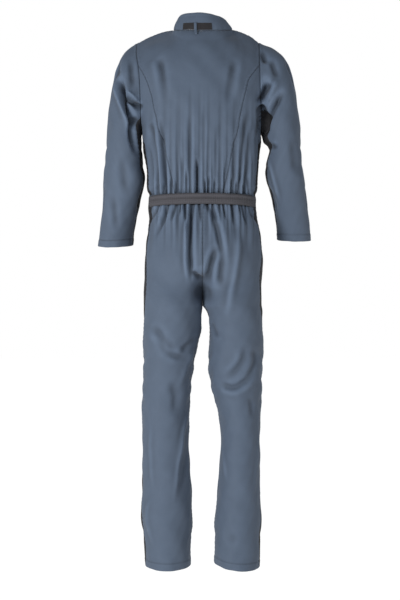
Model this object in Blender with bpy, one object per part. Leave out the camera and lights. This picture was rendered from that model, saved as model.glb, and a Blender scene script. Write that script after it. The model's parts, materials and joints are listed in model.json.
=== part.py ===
"""A work boiler suit, worn by nobody. It keeps its filled-out form, and is open at the neck, cuffs and hems.

Metres, +Z up. The back faces -Y, the front +Y, and the wearer's left is -X. The origin is in the middle
of the neck, level with the seam of the collar at the back. Every panel is a wall of cloth laid on one smooth
form, which the tables below give: how far down the back a row is, and where it lies across and in depth.
"""

import bisect
import math
from types import SimpleNamespace

import bmesh
import bpy
import numpy as np

# Driving sizes
WALL = 0.0012  # twill
BAND_WALL = 0.0020  # elastic in its casing
GAP = 0.0003  # between two pieces at a seam
ARMPIT = 0.270  # how far the armpit lies below the neck seam
BAND_TOP = 0.4445
BAND_FOOT = 0.4720
HIP = 0.575  # from here down the trunk parts into two legs
CROTCH = 0.745
FORK_LATE = 2.5  # how much later the middle parts than the sides do
HEM = 1.457
NECK_HALF = 0.081
NECK_SIDE_Z = 0.018
NECK_SHARE = 0.45  # part of a panel's top edge that is neckline, the rest is shoulder seam
SHOULDER_REACH = 0.12  # below this the neckline and shoulder seam no longer shape the rows
SHOULDER_RISE = 0.026
SHOULDER_SLANT = 0.36  # how far the cloth at the shoulder seam looks sideways, for each metre up
COLLAR_TOP = 0.050
COLLAR_TOP_HALF = 0.066
COLLAR_FRONT_DROP = 0.030
COLLAR_DEPTH_SHARE = 0.86  # how far its top stands back or forward, as a share of its foot
COLLAR_SWELL = 0.003
COLLAR_UPS = (0.0, 0.25, 0.5, 0.75, 1.0)
COLLAR_SHIFT = -0.003  # the back of the collar's edge leans to the wearer's left
COLLAR_TILT = 0.050  # and stands higher there, for each metre across
LEFT_SHOULDER_DROP = 0.004  # the left shoulder hangs lower
ZIP_HALF = 0.0075  # from the centre line to a front's edge
ZIP_FOOT = 0.640
ZIP_CLOSE = 0.020  # below its foot the fronts come together within this
TAPE_HALF = 0.0150
TAPE_DEPTH = 0.0048  # behind the fronts' outside
TAPE_WALL = 0.0010
CHAIN_HALF = 0.0030
CHAIN_WALL = 0.0018
CHAIN_LIFT = 0.0009  # clear of the tape, which is flatter between its three edges
CHAIN_TOP = 0.70  # where the slider stops it, as a share of the collar's height
SLIDER = (0.0095, 0.0036, 0.0120)
SLIDER_AT = 0.80
BRIDGE = (0.0030, 0.0030, 0.0050)
BRIDGE_SUNK = 0.0006  # how far the bridge's foot goes into the slider
AXIS_HEIGHT = 0.0012  # of the pull's bar over the slider's face
TUNNEL = (0.0020, 0.0026)  # through the bridge, for the bar
PULL = (0.0064, 0.0011, 0.0240)
PULL_BAR = 0.0012  # the end of the pull that goes through the bridge
PULL_WINDOW = (0.0040, 0.0056)
COLLAR_WALL = 0.0020
LABEL_WALL = 0.0009
LABEL_ANGLES = (-0.72, 0.32)  # round the neck from the middle of the back
LABEL_UPS = (0.04, 0.26, 0.48)  # up the collar, as shares of its height
LOOP_WALL = 0.0014
LOOP_ANGLES = (-0.27, -0.19)
LOOP_DOWNS = (0.006, 0.014)  # below the neck seam, where the loop hangs over the back
UNDER_COLUMNS = 3  # armhole rows that the black under-sleeve takes

# Mesh rows and columns
ARM_ROWS = 8  # from the shoulder seam to the armpit
SEAM_ROW = 3  # the armhole row where a shaped back seam starts
SIDE_ROWS = 7  # from the armpit to the waistband
LEG_ROWS = 20  # from the waistband to the hem
NECK_COLUMNS = 4
SHOULDER_COLUMNS = 3
STEP = 0.0004  # for slopes of the form
BAND_REACH = 0.15  # below the waistband the places across a row even out within this
FOLD_EDGE = 0.15  # folds fade out within this share of a row from its ends
SLEEVE_BLEND = 0.075  # along this much of it a sleeve takes the armhole's shape

LEFT, RIGHT = -1, 1
BACK, FRONT = -1, 1
BODY_TURN = -1  # the trunk's places run round and down, which on the right turns its slopes inwards


def table(columns, *rows):
    """Rows of numbers under named columns, the first of which places the row."""
    names = columns.split()
    return {name: [row[i] for row in rows] for i, name in enumerate(names)}, names[0]


def read(made, place):
    """Every column at one place, on a smooth curve through its rows."""
    columns, key = made
    stations = columns[key]
    place = min(max(place, stations[0]), stations[-1])
    i = min(bisect.bisect_right(stations, place) - 1, len(stations) - 2)
    span = stations[i + 1] - stations[i]
    t = (place - stations[i]) / span
    found = {}
    for name, values in columns.items():
        low, high = max(i - 1, 0), min(i + 2, len(stations) - 1)
        start = (values[i + 1] - values[low]) / (stations[i + 1] - stations[low]) * span
        end = (values[high] - values[i]) / (stations[high] - stations[i]) * span
        rise = values[i + 1] - values[i]
        bend = (start - rise) * (1 - t) - (end - rise) * t
        found[name] = values[i] + rise * t + t * (1 - t) * bend
    return SimpleNamespace(**found)


# The trunk. left and right: half-width at the armhole or side. y_mid and y_edge: depth on the centre line
# and at the edge. mid_drop and edge_drop: how much lower than the row the cloth is there. turn: degrees that
# the row turns through from the centre line to its edge. square: fullness between the two.
BACK_ROWS = table(
    "down    left    right   y_mid    y_edge   mid_drop edge_drop turn  square",
    (0.0000, 0.1820, 0.1550, -0.0640, +0.0000, 0.0000, 0.0170, 60.0, 0.00),
    (0.0395, 0.1795, 0.1550, -0.0880, -0.0360, 0.0000, 0.0160, 60.0, 0.00),
    (0.0834, 0.1745, 0.1550, -0.1020, -0.0540, 0.0000, 0.0080, 60.0, 0.00),
    (0.1350, 0.1705, 0.1560, -0.1120, -0.0620, 0.0000, 0.0020, 60.0, 0.00),
    (0.1866, 0.1690, 0.1580, -0.1170, -0.0600, 0.0000, 0.0000, 62.0, 0.00),
    (0.2305, 0.1680, 0.1605, -0.1180, -0.0430, 0.0000, 0.0000, 72.0, 0.01),
    (0.2700, 0.1670, 0.1610, -0.1170, +0.0000, 0.0000, 0.0000, 90.0, 0.04),
    (0.3150, 0.1630, 0.1590, -0.1140, +0.0000, 0.0000, 0.0000, 90.0, 0.05),
    (0.3650, 0.1560, 0.1555, -0.1100, +0.0000, 0.0000, 0.0010, 90.0, 0.05),
    (0.4200, 0.1540, 0.1515, -0.1060, +0.0000, 0.0000, 0.0030, 90.0, 0.05),
    (0.4445, 0.1505, 0.1480, -0.1010, +0.0000, 0.0000, 0.0040, 90.0, 0.04),
    (0.4720, 0.1490, 0.1470, -0.1000, +0.0000, 0.0000, 0.0040, 90.0, 0.04),
    (0.4980, 0.1465, 0.1500, -0.1080, +0.0000, 0.0000, 0.0030, 90.0, 0.05),
    (0.5300, 0.1500, 0.1580, -0.1170, +0.0000, 0.0000, 0.0010, 90.0, 0.05),
    (0.5750, 0.1560, 0.1640, -0.1240, +0.0000, 0.0000, 0.0000, 90.0, 0.05),
    (0.6400, 0.1580, 0.1665, -0.1270, +0.0000, 0.0000, 0.0000, 90.0, 0.05),
    (0.7450, 0.1620, 0.1630, -0.1230, +0.0000, 0.0000, 0.0000, 90.0, 0.04),
)
FRONT_ROWS = table(
    "down    left    right   y_mid    y_edge   mid_drop edge_drop turn  square",
    (0.0000, 0.1820, 0.1550, +0.0600, +0.0000, 0.0520, 0.0170, 60.0, 0.00),
    (0.0395, 0.1745, 0.1520, +0.0860, +0.0340, 0.0440, 0.0160, 60.0, 0.00),
    (0.0834, 0.1650, 0.1490, +0.1040, +0.0510, 0.0330, 0.0080, 60.0, 0.00),
    (0.1350, 0.1610, 0.1480, +0.1170, +0.0580, 0.0180, 0.0020, 60.0, 0.00),
    (0.1866, 0.1620, 0.1520, +0.1240, +0.0560, 0.0060, 0.0000, 62.0, 0.00),
    (0.2305, 0.1650, 0.1570, +0.1250, +0.0420, 0.0010, 0.0000, 72.0, 0.01),
    (0.2700, 0.1670, 0.1610, +0.1240, +0.0000, 0.0000, 0.0000, 90.0, 0.04),
    (0.3150, 0.1630, 0.1590, +0.1210, +0.0000, 0.0000, 0.0000, 90.0, 0.05),
    (0.3650, 0.1560, 0.1555, +0.1180, +0.0000, 0.0000, 0.0010, 90.0, 0.05),
    (0.4200, 0.1540, 0.1515, +0.1150, +0.0000, 0.0000, 0.0030, 90.0, 0.05),
    (0.4445, 0.1505, 0.1480, +0.1130, +0.0000, 0.0000, 0.0040, 90.0, 0.05),
    (0.4720, 0.1490, 0.1470, +0.1125, +0.0000, 0.0000, 0.0040, 90.0, 0.05),
    (0.4980, 0.1465, 0.1500, +0.1130, +0.0000, 0.0000, 0.0030, 90.0, 0.05),
    (0.5300, 0.1500, 0.1580, +0.1140, +0.0000, 0.0000, 0.0010, 90.0, 0.05),
    (0.5750, 0.1560, 0.1640, +0.1150, +0.0000, 0.0000, 0.0000, 90.0, 0.05),
    (0.6400, 0.1580, 0.1665, +0.1150, +0.0000, 0.0000, 0.0000, 90.0, 0.05),
    (0.7450, 0.1620, 0.1630, +0.1080, +0.0000, 0.0000, 0.0000, 90.0, 0.04),
)
# The legs. out and half: the middle of a leg from the centre line, and its half-width. tilt: how much lower
# its outer side is than its middle.
LEG_TABLE = table(
    "down   out_left half_left tilt_left out_right half_right tilt_right y_mid  deep",
    (0.745, 0.0812, 0.0812, 0.000, 0.0815, 0.0815, 0.000, -0.006, 0.112),
    (0.764, 0.0818, 0.0813, 0.000, 0.0885, 0.0770, 0.000, -0.006, 0.110),
    (0.800, 0.0830, 0.0808, 0.000, 0.0925, 0.0750, 0.000, -0.005, 0.106),
    (0.831, 0.0860, 0.0780, 0.000, 0.0940, 0.0735, 0.000, -0.004, 0.103),
    (0.897, 0.0930, 0.0710, 0.000, 0.0910, 0.0765, 0.000, -0.001, 0.096),
    (0.964, 0.0980, 0.0685, 0.000, 0.0940, 0.0715, 0.000, +0.002, 0.091),
    (1.063, 0.1025, 0.0650, 0.000, 0.1040, 0.0565, 0.000, +0.002, 0.087),
    (1.196, 0.1000, 0.0675, 0.000, 0.1025, 0.0575, 0.001, -0.002, 0.086),
    (1.329, 0.0985, 0.0705, 0.000, 0.0985, 0.0635, 0.003, -0.006, 0.085),
    (1.396, 0.0970, 0.0655, 0.000, 0.0965, 0.0640, 0.004, -0.008, 0.084),
    (1.457, 0.0950, 0.0620, 0.000, 0.0955, 0.0610, 0.005, -0.008, 0.084),
)
# The sleeves, ring by ring from the armhole to the cuff: the ring's outer and inner point, and its depth.
SLEEVE_TABLE = table(
    "along  out_left out_right out_z   in_left in_right in_z    y_mid  deep   lean   lift_right",
    (0.000, 0.1820, 0.1550, -0.0170, 0.1670, 0.1610, -0.2700, 0.000, 0.0600, 0.000, 0.000),
    (0.045, 0.2140, 0.2070, -0.0420, 0.1695, 0.1650, -0.2780, 0.000, 0.0660, 0.000, 0.000),
    (0.085, 0.2340, 0.2375, -0.0830, 0.1700, 0.1675, -0.2850, 0.000, 0.0700, 0.000, 0.000),
    (0.140, 0.2480, 0.2540, -0.1330, 0.1695, 0.1700, -0.2930, 0.000, 0.0720, 0.000, 0.000),
    (0.205, 0.2585, 0.2630, -0.1990, 0.1685, 0.1810, -0.3050, 0.000, 0.0720, 0.000, 0.000),
    (0.270, 0.2650, 0.2705, -0.2660, 0.1665, 0.1835, -0.3250, 0.002, 0.0700, 0.001, 0.000),
    (0.335, 0.2700, 0.2760, -0.3350, 0.1645, 0.1750, -0.3560, 0.008, 0.0670, 0.003, 0.000),
    (0.395, 0.2750, 0.2840, -0.3930, 0.1590, 0.1775, -0.3960, 0.018, 0.0640, 0.006, 0.000),
    (0.458, 0.2815, 0.2940, -0.4580, 0.1740, 0.1950, -0.4560, 0.040, 0.0590, 0.009, 0.005),
    (0.520, 0.2890, 0.3020, -0.5220, 0.1910, 0.2060, -0.5180, 0.063, 0.0530, 0.009, 0.011),
    (0.570, 0.2955, 0.3070, -0.5760, 0.1980, 0.2125, -0.5740, 0.080, 0.0480, 0.007, 0.016),
)
# The shaped back seams, and the black side strips, as shares of the way round from the middle of the back
# (0) over the side (1) to the middle of the front (2).
BACK_SEAMS = table(
    "down    left   right",
    (0.0834, 1.000, 1.000),
    (0.1300, 0.850, 0.755),
    (0.1700, 0.773, 0.661),
    (0.2100, 0.691, 0.573),
    (0.2305, 0.629, 0.516),
    (0.2600, 0.514, 0.415),
    (0.2770, 0.468, 0.376),
    (0.3440, 0.403, 0.317),
    (0.4106, 0.346, 0.264),
    (0.4445, 0.321, 0.239),
)
SIDE_STRIPS = table(
    "down   back   front",
    (0.270, 1.000, 1.000),
    (0.295, 0.910, 1.020),
    (0.330, 0.850, 1.030),
    (0.445, 0.815, 1.030),
    (0.600, 0.820, 1.030),
    (0.720, 0.860, 1.050),
    (0.790, 0.920, 1.100),
    (0.870, 1.010, 1.180),
    (1.080, 1.020, 1.190),
    (1.200, 0.990, 1.160),
    (1.330, 0.900, 1.070),
    (1.400, 0.870, 1.040),
    (1.457, 0.910, 1.080),
)
# The black under-sleeve's two edges, in half turns round the sleeve from its shoulder side over the back.
UNDER_STRIPS = table(
    "along  back_left front_left back_right front_right",
    (0.000, 0.750, 1.125, 0.750, 1.125),
    (0.090, 0.780, 1.080, 0.800, 1.080),
    (0.180, 0.830, 1.090, 0.850, 1.090),
    (0.290, 0.850, 1.100, 0.880, 1.110),
    (0.350, 0.860, 1.110, 0.900, 1.150),
    (0.420, 0.900, 1.150, 0.940, 1.200),
    (0.570, 0.950, 1.200, 0.950, 1.210),
)
# The largest folds. They run from one point to another, seen from the back, where depth is how far the cloth
# sinks in the middle of the fold and half is half the fold's width.
FOLDS = table(
    "row  face  x_from   z_from   x_to     z_to    half   depth",
    (0, BACK, -0.1120, -0.1300, -0.0950, -0.4200, 0.022, 0.0060),
    (1, BACK, +0.0800, -0.1500, +0.0600, -0.4200, 0.022, 0.0050),
    (2, BACK, -0.0250, -0.5200, -0.0180, -0.6600, 0.022, 0.0060),
    (3, BACK, +0.0300, -0.5400, +0.0450, -0.6700, 0.022, 0.0050),
    (4, BACK, -0.1400, -0.8100, -0.0900, -0.8800, 0.022, 0.0080),
    (5, BACK, -0.0900, -0.8800, -0.0350, -0.8850, 0.020, 0.0060),
    (6, BACK, +0.0550, -0.8450, +0.1080, -0.9000, 0.022, 0.0070),
    (7, BACK, +0.1500, -0.8650, +0.1020, -0.9600, 0.024, 0.0070),
    (8, BACK, -0.0550, -0.8900, -0.0680, -1.1900, 0.020, 0.0060),
    (9, FRONT, -0.0200, -0.6100, -0.1000, -0.6900, 0.024, 0.0060),
    (10, FRONT, +0.0250, -0.6000, +0.1050, -0.6950, 0.024, 0.0060),
    (11, FRONT, -0.1400, -0.9700, -0.0800, -0.9300, 0.022, 0.0070),
    (12, FRONT, +0.1400, -0.9500, +0.0800, -0.9300, 0.022, 0.0070),
)


def unit(vector):
    return vector / np.linalg.norm(vector)


def pick(row, name, side):
    return getattr(row, f"{name}_left" if side == LEFT else f"{name}_right")


def eased(t):
    t = min(max(t, 0.0), 1.0)
    return t * t * (3 - 2 * t)


# ---- the form


def arc_row(side, row, across):
    """One row of a panel: a turn of an oval from the centre line to the armhole or side."""
    turn = math.radians(row.turn)
    angle = across * turn
    fullness = 1 + row.square * math.sin(2 * angle) ** 2
    bow = (1 - math.cos(angle)) / (1 - math.cos(turn))
    half = row.left if side == LEFT else row.right
    x = side * half * math.sin(angle) / math.sin(turn) * fullness
    y = row.y_edge + (row.y_mid - row.y_edge) * (1 - bow) * fullness
    z = -row.down - row.mid_drop - (row.edge_drop - row.mid_drop) * bow
    return np.array([x, y, z])


def top_edge(side, row, across):
    """The neckline as far as the side of the neck, then the shoulder seam."""
    neck_side = np.array([side * NECK_HALF, 0.0, NECK_SIDE_Z])
    if across < NECK_SHARE:
        angle = across / NECK_SHARE * math.pi / 2
        rise = NECK_SIDE_Z + row.mid_drop
        z = -row.mid_drop + rise * (1 - math.cos(angle))
        return np.array([side * NECK_HALF * math.sin(angle), row.y_mid * math.cos(angle), z])
    t = (across - NECK_SHARE) / (1 - NECK_SHARE)
    rise = np.array([0.0, 0.0, SHOULDER_RISE * t * (1 - t)])
    return neck_side + (arc_row(side, row, 1.0) - neck_side) * t + rise


def trunk(side, face, down, across):
    rows = BACK_ROWS if face == BACK else FRONT_ROWS
    point = arc_row(side, read(rows, down), across)
    if down < SHOULDER_REACH:
        first = read(rows, 0.0)
        fade = (1 - down / SHOULDER_REACH) ** 2
        point = point + fade * (top_edge(side, first, across) - arc_row(side, first, across))
    if side == LEFT and down < ARMPIT:
        point[2] -= LEFT_SHOULDER_DROP * across * across * (1 - down / ARMPIT)
    return point


def leg(side, face, down, across):
    """A leg's ring: across is 0 on the inside seam and 1 at the outer side."""
    row = read(LEG_TABLE, down)
    angle = across * math.pi
    out = -pick(row, "half", side) * math.cos(angle)
    z = -down - pick(row, "tilt", side) * -math.cos(angle)
    y = row.y_mid + face * row.deep * math.sin(angle)
    return np.array([side * (pick(row, "out", side) + out), y, z])


def parted(down, across):
    """How far the trunk has become a leg here, which it does later in the middle, at the fork."""
    middle = math.cos(across * math.pi / 2) ** 3
    return eased((down - HIP) / (CROTCH - HIP)) ** (1 + FORK_LATE * middle)


def fold_depth(face, point):
    """How far the large folds sink the cloth at a point."""
    columns, _ = FOLDS
    sunk = 0.0
    spot = point[[0, 2]]
    for i, of_face in enumerate(columns["face"]):
        if of_face != face:
            continue
        start = np.array([columns["x_from"][i], columns["z_from"][i]])
        end = np.array([columns["x_to"][i], columns["z_to"][i]])
        run = end - start
        t = float(np.dot(spot - start, run) / np.dot(run, run))
        away = float(np.linalg.norm(spot - start - min(max(t, 0.0), 1.0) * run))
        sunk += columns["depth"][i] * math.exp(-((away / columns["half"][i]) ** 2))
    return sunk


def smooth_body(side, face, down, across):
    share = parted(down, across)
    if share <= 0:
        return trunk(side, face, down, across)
    if share >= 1:
        return leg(side, face, down, across)
    return (1 - share) * trunk(side, face, down, across) + share * leg(side, face, down, across)


def body(side, around, down):
    """A point of the suit's outside: around is 0 at the middle of the back, 1 at the side and 2 in front."""
    face, across = (BACK, around) if around <= 1 else (FRONT, 2 - around)
    point = smooth_body(side, face, down, across)
    clear = eased(across / FOLD_EDGE) * eased((1 - across) / FOLD_EDGE)
    point[1] -= face * fold_depth(face, point) * clear
    return point


def trunk_and_leg(side):
    """One side's outside as a surface of two numbers, round and down."""

    def surface(around, down):
        return body(side, around, down)

    return surface


def armhole(side, angle):
    """The armhole's edge, from the shoulder (0) down its back to the armpit (pi) and up its front."""
    down = ARMPIT * (1 - math.cos(angle)) / 2
    return body(side, 1.0 if angle % (2 * math.pi) <= math.pi else 1.0 + 1e-9, down)


def sleeve(side, angle, along):
    row = read(SLEEVE_TABLE, along)
    lift = row.lift_right if side == RIGHT else 0.0
    outer = np.array([side * pick(row, "out", side), row.y_mid, row.out_z + lift])
    inner = np.array([side * pick(row, "in", side), row.y_mid, row.in_z + lift])
    depth = np.array([0.0, -row.deep, -row.lean])
    return (outer + inner) / 2 + math.cos(angle) * (outer - inner) / 2 + math.sin(angle) * depth


def sleeve_skin(side, angle, along):
    fade = (1 - eased(along / SLEEVE_BLEND)) if along < SLEEVE_BLEND else 0.0
    point = sleeve(side, angle, along)
    if fade > 0:
        point = point + fade * (armhole(side, angle) - sleeve(side, angle, 0.0))
    return point


def collar(angle, up):
    """The stand collar: angle runs round the neck from the middle of the back, up from seam to edge."""
    side = LEFT if math.sin(angle) < 0 else RIGHT
    share = abs(math.remainder(angle, 2 * math.pi)) / (math.pi / 2)
    if share <= 1:
        base = top_edge(side, read(BACK_ROWS, 0.0), share * NECK_SHARE)
    else:
        base = top_edge(side, read(FRONT_ROWS, 0.0), (2 - share) * NECK_SHARE)
    front = (1 - math.cos(angle)) / 2
    top_z = COLLAR_TOP - COLLAR_FRONT_DROP * front * front
    top_x = base[0] * COLLAR_TOP_HALF / NECK_HALF + COLLAR_SHIFT * (1 - front)
    top = np.array([top_x, base[1] * COLLAR_DEPTH_SHARE, top_z - COLLAR_TILT * base[0]])
    swell = COLLAR_SWELL * math.sin(math.pi * up)
    out = unit(np.array([base[0], base[1], 0.0]))
    return base + (top - base) * up + out * swell


# ---- cloth walls


def slope(surface, u, v, turned):
    """The form's outward normal at a place on it."""
    du = surface(u + STEP, v) - surface(u - STEP, v)
    dv = surface(u, v + STEP) - surface(u, v - STEP)
    return unit(np.cross(du, dv)) * turned


def drawn_in(grid):
    """The grid with each free edge moved half a seam's gap towards its neighbours."""
    moved = grid.copy()
    for edge, inner in ((0, 1), (-1, -2)):
        for axis in (0, 1):
            here = np.take(grid, edge, axis)
            towards = np.take(grid, inner, axis) - here
            step = towards / np.linalg.norm(towards, axis=-1, keepdims=True) * GAP / 2
            if axis == 0:
                moved[edge] += step
            else:
                moved[:, edge] += step
    return moved


def material(name, colour, roughness, metallic=0.0):
    made = bpy.data.materials.get(name) or bpy.data.materials.new(name)
    made.use_nodes = True
    shader = made.node_tree.nodes["Principled BSDF"]
    shader.inputs["Base Color"].default_value = (*colour, 1.0)
    shader.inputs["Roughness"].default_value = roughness
    shader.inputs["Metallic"].default_value = metallic
    return made


def wall(name, outer, inner, finish, ring=False):
    """A closed sheet between two grids of points. A ring's last column is joined to its first."""
    rows, columns = outer.shape[:2]
    shape = bmesh.new()
    skins = []
    for grid in (outer, inner):
        skins.append([[shape.verts.new(point) for point in row] for row in grid])
    spans = columns if ring else columns - 1
    for i in range(rows - 1):
        for j in range(spans):
            k = (j + 1) % columns
            for skin in skins:
                shape.faces.new((skin[i][j], skin[i][k], skin[i + 1][k], skin[i + 1][j]))
    out, back = skins
    for i in (0, rows - 1):
        for j in range(spans):
            k = (j + 1) % columns
            shape.faces.new((out[i][j], out[i][k], back[i][k], back[i][j]))
    if not ring:
        for j in (0, columns - 1):
            for i in range(rows - 1):
                shape.faces.new((out[i][j], out[i + 1][j], back[i + 1][j], back[i][j]))
    bmesh.ops.recalc_face_normals(shape, faces=shape.faces)
    return placed(name, shape, finish)


def placed(name, shape, finish):
    mesh = bpy.data.meshes.new(name)
    shape.to_mesh(mesh)
    shape.free()
    mesh.shade_smooth()
    mesh.set_sharp_from_angle(angle=math.radians(50))
    mesh.materials.append(finish)
    made = bpy.data.objects.new(name, mesh)
    bpy.context.scene.collection.objects.link(made)
    return made


def sampled(surface, places, turned):
    """Points of a form and its normals there, for a grid of places on it."""
    points = np.array([[surface(u, v) for u, v in row] for row in places])
    normals = np.array([[slope(surface, u, v, turned) for u, v in row] for row in places])
    return points, normals


def armhole_edge(side, angle, towards):
    """The seam of a sleeve: the edge of one of the two pieces, and the direction in which it stands."""
    point = armhole(side, angle)
    middle = np.array([0.0, 0.0, (armhole(side, 0.0)[2] - ARMPIT) / 2])
    out = unit(np.array([0.0, point[1], point[2] - middle[2]]))
    return point + np.array([towards * GAP / 2, 0.0, 0.0]), out


def neck_edge(point, towards_collar):
    """The seam of the collar, likewise."""
    out = unit(np.array([point[0], point[1], 0.0]))
    up = np.array([0.0, 0.0, 1.0])
    return point + unit(up - out) * towards_collar * GAP / 2, unit(out + up)


def shoulder_edge(side, point, face):
    return point + np.array([0.0, face * GAP / 2, 0.0]), unit(np.array([side * SHOULDER_SLANT, 0.0, 1.0]))


# ---- rows and columns that neighbours share


def armhole_downs():
    return [ARMPIT * (1 - math.cos(math.pi * i / ARM_ROWS)) / 2 for i in range(ARM_ROWS + 1)]


def spread(start, end, steps):
    return [start + (end - start) * i / steps for i in range(steps + 1)]


def side_downs():
    return spread(ARMPIT, BAND_TOP, SIDE_ROWS)


def seam_downs():
    return spread(armhole_downs()[SEAM_ROW], BAND_TOP, SIDE_ROWS)


def leg_downs():
    above = spread(BAND_FOOT, CROTCH, LEG_ROWS * 2 // 5)
    return above + spread(CROTCH, HEM, LEG_ROWS - len(above) + 1)[1:]


def top_shares():
    neck = spread(0.0, NECK_SHARE, NECK_COLUMNS)
    return neck + spread(NECK_SHARE, 1.0, SHOULDER_COLUMNS)[1:]


def seam_share(side, down):
    row = read(BACK_SEAMS, down)
    return row.left if side == LEFT else row.right


def band_shares(side):
    """Places round the waistband, from the middle of the back to a side strip."""
    seam = seam_share(side, BAND_TOP)
    end = read(SIDE_STRIPS, BAND_TOP).back
    inner = [share * seam for share in top_shares()]
    return inner + spread(seam, end, ARM_ROWS - SEAM_ROW)[1:]


# ---- panels


def back_centre(finish):
    """From the neck to the waistband, between the shaped seams."""
    tops = top_shares()
    halves = []
    for side in (LEFT, RIGHT):
        surface = trunk_and_leg(side)
        places = [[(a, down) for a in tops] for down in armhole_downs()[:SEAM_ROW]]
        places += [[(a * seam_share(side, down), down) for a in tops] for down in seam_downs()]
        points, normals = sampled(surface, places, BODY_TURN * side)
        normals[:, 0] = unit_rows(normals[:, 0] * np.array([0.0, 1.0, 1.0]))
        points, normals = finished_back(side, points, normals)
        halves.append((points, normals))
    points = np.concatenate([halves[0][0][:, :0:-1], halves[1][0]], axis=1)
    normals = np.concatenate([halves[0][1][:, :0:-1], halves[1][1]], axis=1)
    return wall("back_centre", points, points - normals * WALL, finish)


def unit_rows(vectors):
    return vectors / np.linalg.norm(vectors, axis=-1, keepdims=True)


def finished_back(side, points, normals):
    """Half of the back, with its edges at the neck, shoulder, armhole, shaped seam and band."""
    drawn = points.copy()
    inward = unit_rows(points[:, -2] - points[:, -1])
    drawn[SEAM_ROW + 1 :, -1] += inward[SEAM_ROW + 1 :] * GAP / 2
    drawn[-1] += unit_rows(points[-2] - points[-1]) * GAP / 2
    for j, share in enumerate(top_shares()):
        if share <= NECK_SHARE:
            drawn[0, j], normals[0, j] = neck_edge(points[0, j], -1)
        else:
            drawn[0, j], normals[0, j] = shoulder_edge(side, points[0, j], BACK)
    for i in range(SEAM_ROW + 1):
        angle = math.pi * i / ARM_ROWS
        drawn[i, -1], normals[i, -1] = armhole_edge(side, angle, -side)
        if i in (0, SEAM_ROW):
            drawn[i, -1] += inward[i] * GAP
    drawn[0, -1] = shoulder_edge(side, drawn[0, -1], BACK)[0]
    return drawn, normals


def back_side(side, name, finish):
    """From the armhole to the waistband, between the shaped seam and the side strip."""
    columns = ARM_ROWS - SEAM_ROW
    seam_rows, side_rows = seam_downs(), side_downs()
    tops = [np.array([1.0, down]) for down in armhole_downs()[SEAM_ROW:]]
    foot_start, foot_end = seam_share(side, BAND_TOP), read(SIDE_STRIPS, BAND_TOP).back
    feet = [np.array([share, BAND_TOP]) for share in spread(foot_start, foot_end, columns)]
    places = []
    for i, (seam_down, side_down) in enumerate(zip(seam_rows, side_rows)):
        t = i / SIDE_ROWS
        start = np.array([seam_share(side, seam_down), seam_down])
        end = np.array([read(SIDE_STRIPS, side_down).back, side_down])
        row = []
        for j in range(columns + 1):
            s = j / columns
            across = (1 - t) * tops[j] + t * feet[j]
            along = (1 - s) * start + s * end
            above = (1 - s) * tops[0] + s * tops[-1]
            below = (1 - s) * feet[0] + s * feet[-1]
            row.append(tuple(across + along - (1 - t) * above - t * below))
        places.append(row)
    surface = trunk_and_leg(side)
    points, normals = sampled(surface, places, BODY_TURN * side)
    drawn = drawn_in(points)
    for j in range(columns + 1):
        angle = math.pi * (SEAM_ROW + j) / ARM_ROWS
        drawn[0, j], normals[0, j] = armhole_edge(side, angle, -side)
    drawn[0, 0] += np.array([0.0, 0.0, -GAP])
    drawn[0, -1] += np.array([0.0, -GAP, 0.0])
    return wall(name, drawn, drawn - normals * WALL, finish)


def share_at(side, down, x):
    """The share of a front's row that lies this far from the centre line."""
    share = 0.05
    for _ in range(4):
        share *= x / abs(body(side, 2 - share, down)[0])
    return share


def zip_share(side, down):
    """Where a front starts: beside the zip, or below it on the centre line."""
    open_half = ZIP_HALF * (1 - eased((down - ZIP_FOOT) / ZIP_CLOSE))
    return share_at(side, down, open_half) if open_half > 0 else 0.0


def front(side, name, finish):
    """From the shoulder to the waist seam, from the zip to the armhole and the side strip."""
    surface = trunk_and_leg(side)
    places = []
    for down in armhole_downs():
        start = zip_share(side, down)
        places.append([(2 - max(start, share), down) for share in top_shares()])
    places += [front_row(side, down) for down in side_downs()[1:] + [BAND_FOOT]]
    points, normals = sampled(surface, places, BODY_TURN * side)
    drawn = drawn_in(points)
    for j, share in enumerate(top_shares()):
        if share <= NECK_SHARE:
            drawn[0, j], normals[0, j] = neck_edge(points[0, j], -1)
        else:
            drawn[0, j], normals[0, j] = shoulder_edge(side, points[0, j], FRONT)
    for i in range(ARM_ROWS + 1):
        drawn[i, -1], normals[i, -1] = armhole_edge(side, 2 * math.pi - math.pi * i / ARM_ROWS, -side)
    drawn[0, -1] = shoulder_edge(side, drawn[0, -1], FRONT)[0]
    drawn[ARM_ROWS, -1] += np.array([0.0, GAP, 0.0])
    return wall(name, drawn, drawn - normals * WALL, finish)


def front_row(side, down):
    """A row of places from the zip, or the centre line below it, to the side strip."""
    start, end = zip_share(side, down), 2 - read(SIDE_STRIPS, down).front
    return [(2 - start - (end - start) * share, down) for share in top_shares()]


def front_leg(side, name, finish):
    """From the waist seam to the hem, from the zip and the inside seam to the side strip."""
    surface = trunk_and_leg(side)
    places = [front_row(side, down) for down in leg_downs()]
    points, normals = sampled(surface, places, BODY_TURN * side)
    drawn = drawn_in(points)
    return wall(name, drawn, drawn - normals * WALL, finish)


def back_leg(side, name, finish):
    """From the waistband to the hem, from the middle of the back and the inside seam to the side strip."""
    surface = trunk_and_leg(side)
    firsts = band_shares(side)
    even = spread(0.0, 1.0, len(firsts) - 1)
    places = []
    for down in leg_downs():
        end = read(SIDE_STRIPS, down).back
        evened = eased((down - BAND_FOOT) / BAND_REACH)
        row = []
        for first, share in zip(firsts, even):
            row.append(((1 - evened) * first * end / firsts[-1] + evened * share * end, down))
        places.append(row)
    points, normals = sampled(surface, places, BODY_TURN * side)
    drawn = drawn_in(points)
    return wall(name, drawn, drawn - normals * WALL, finish)


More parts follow.
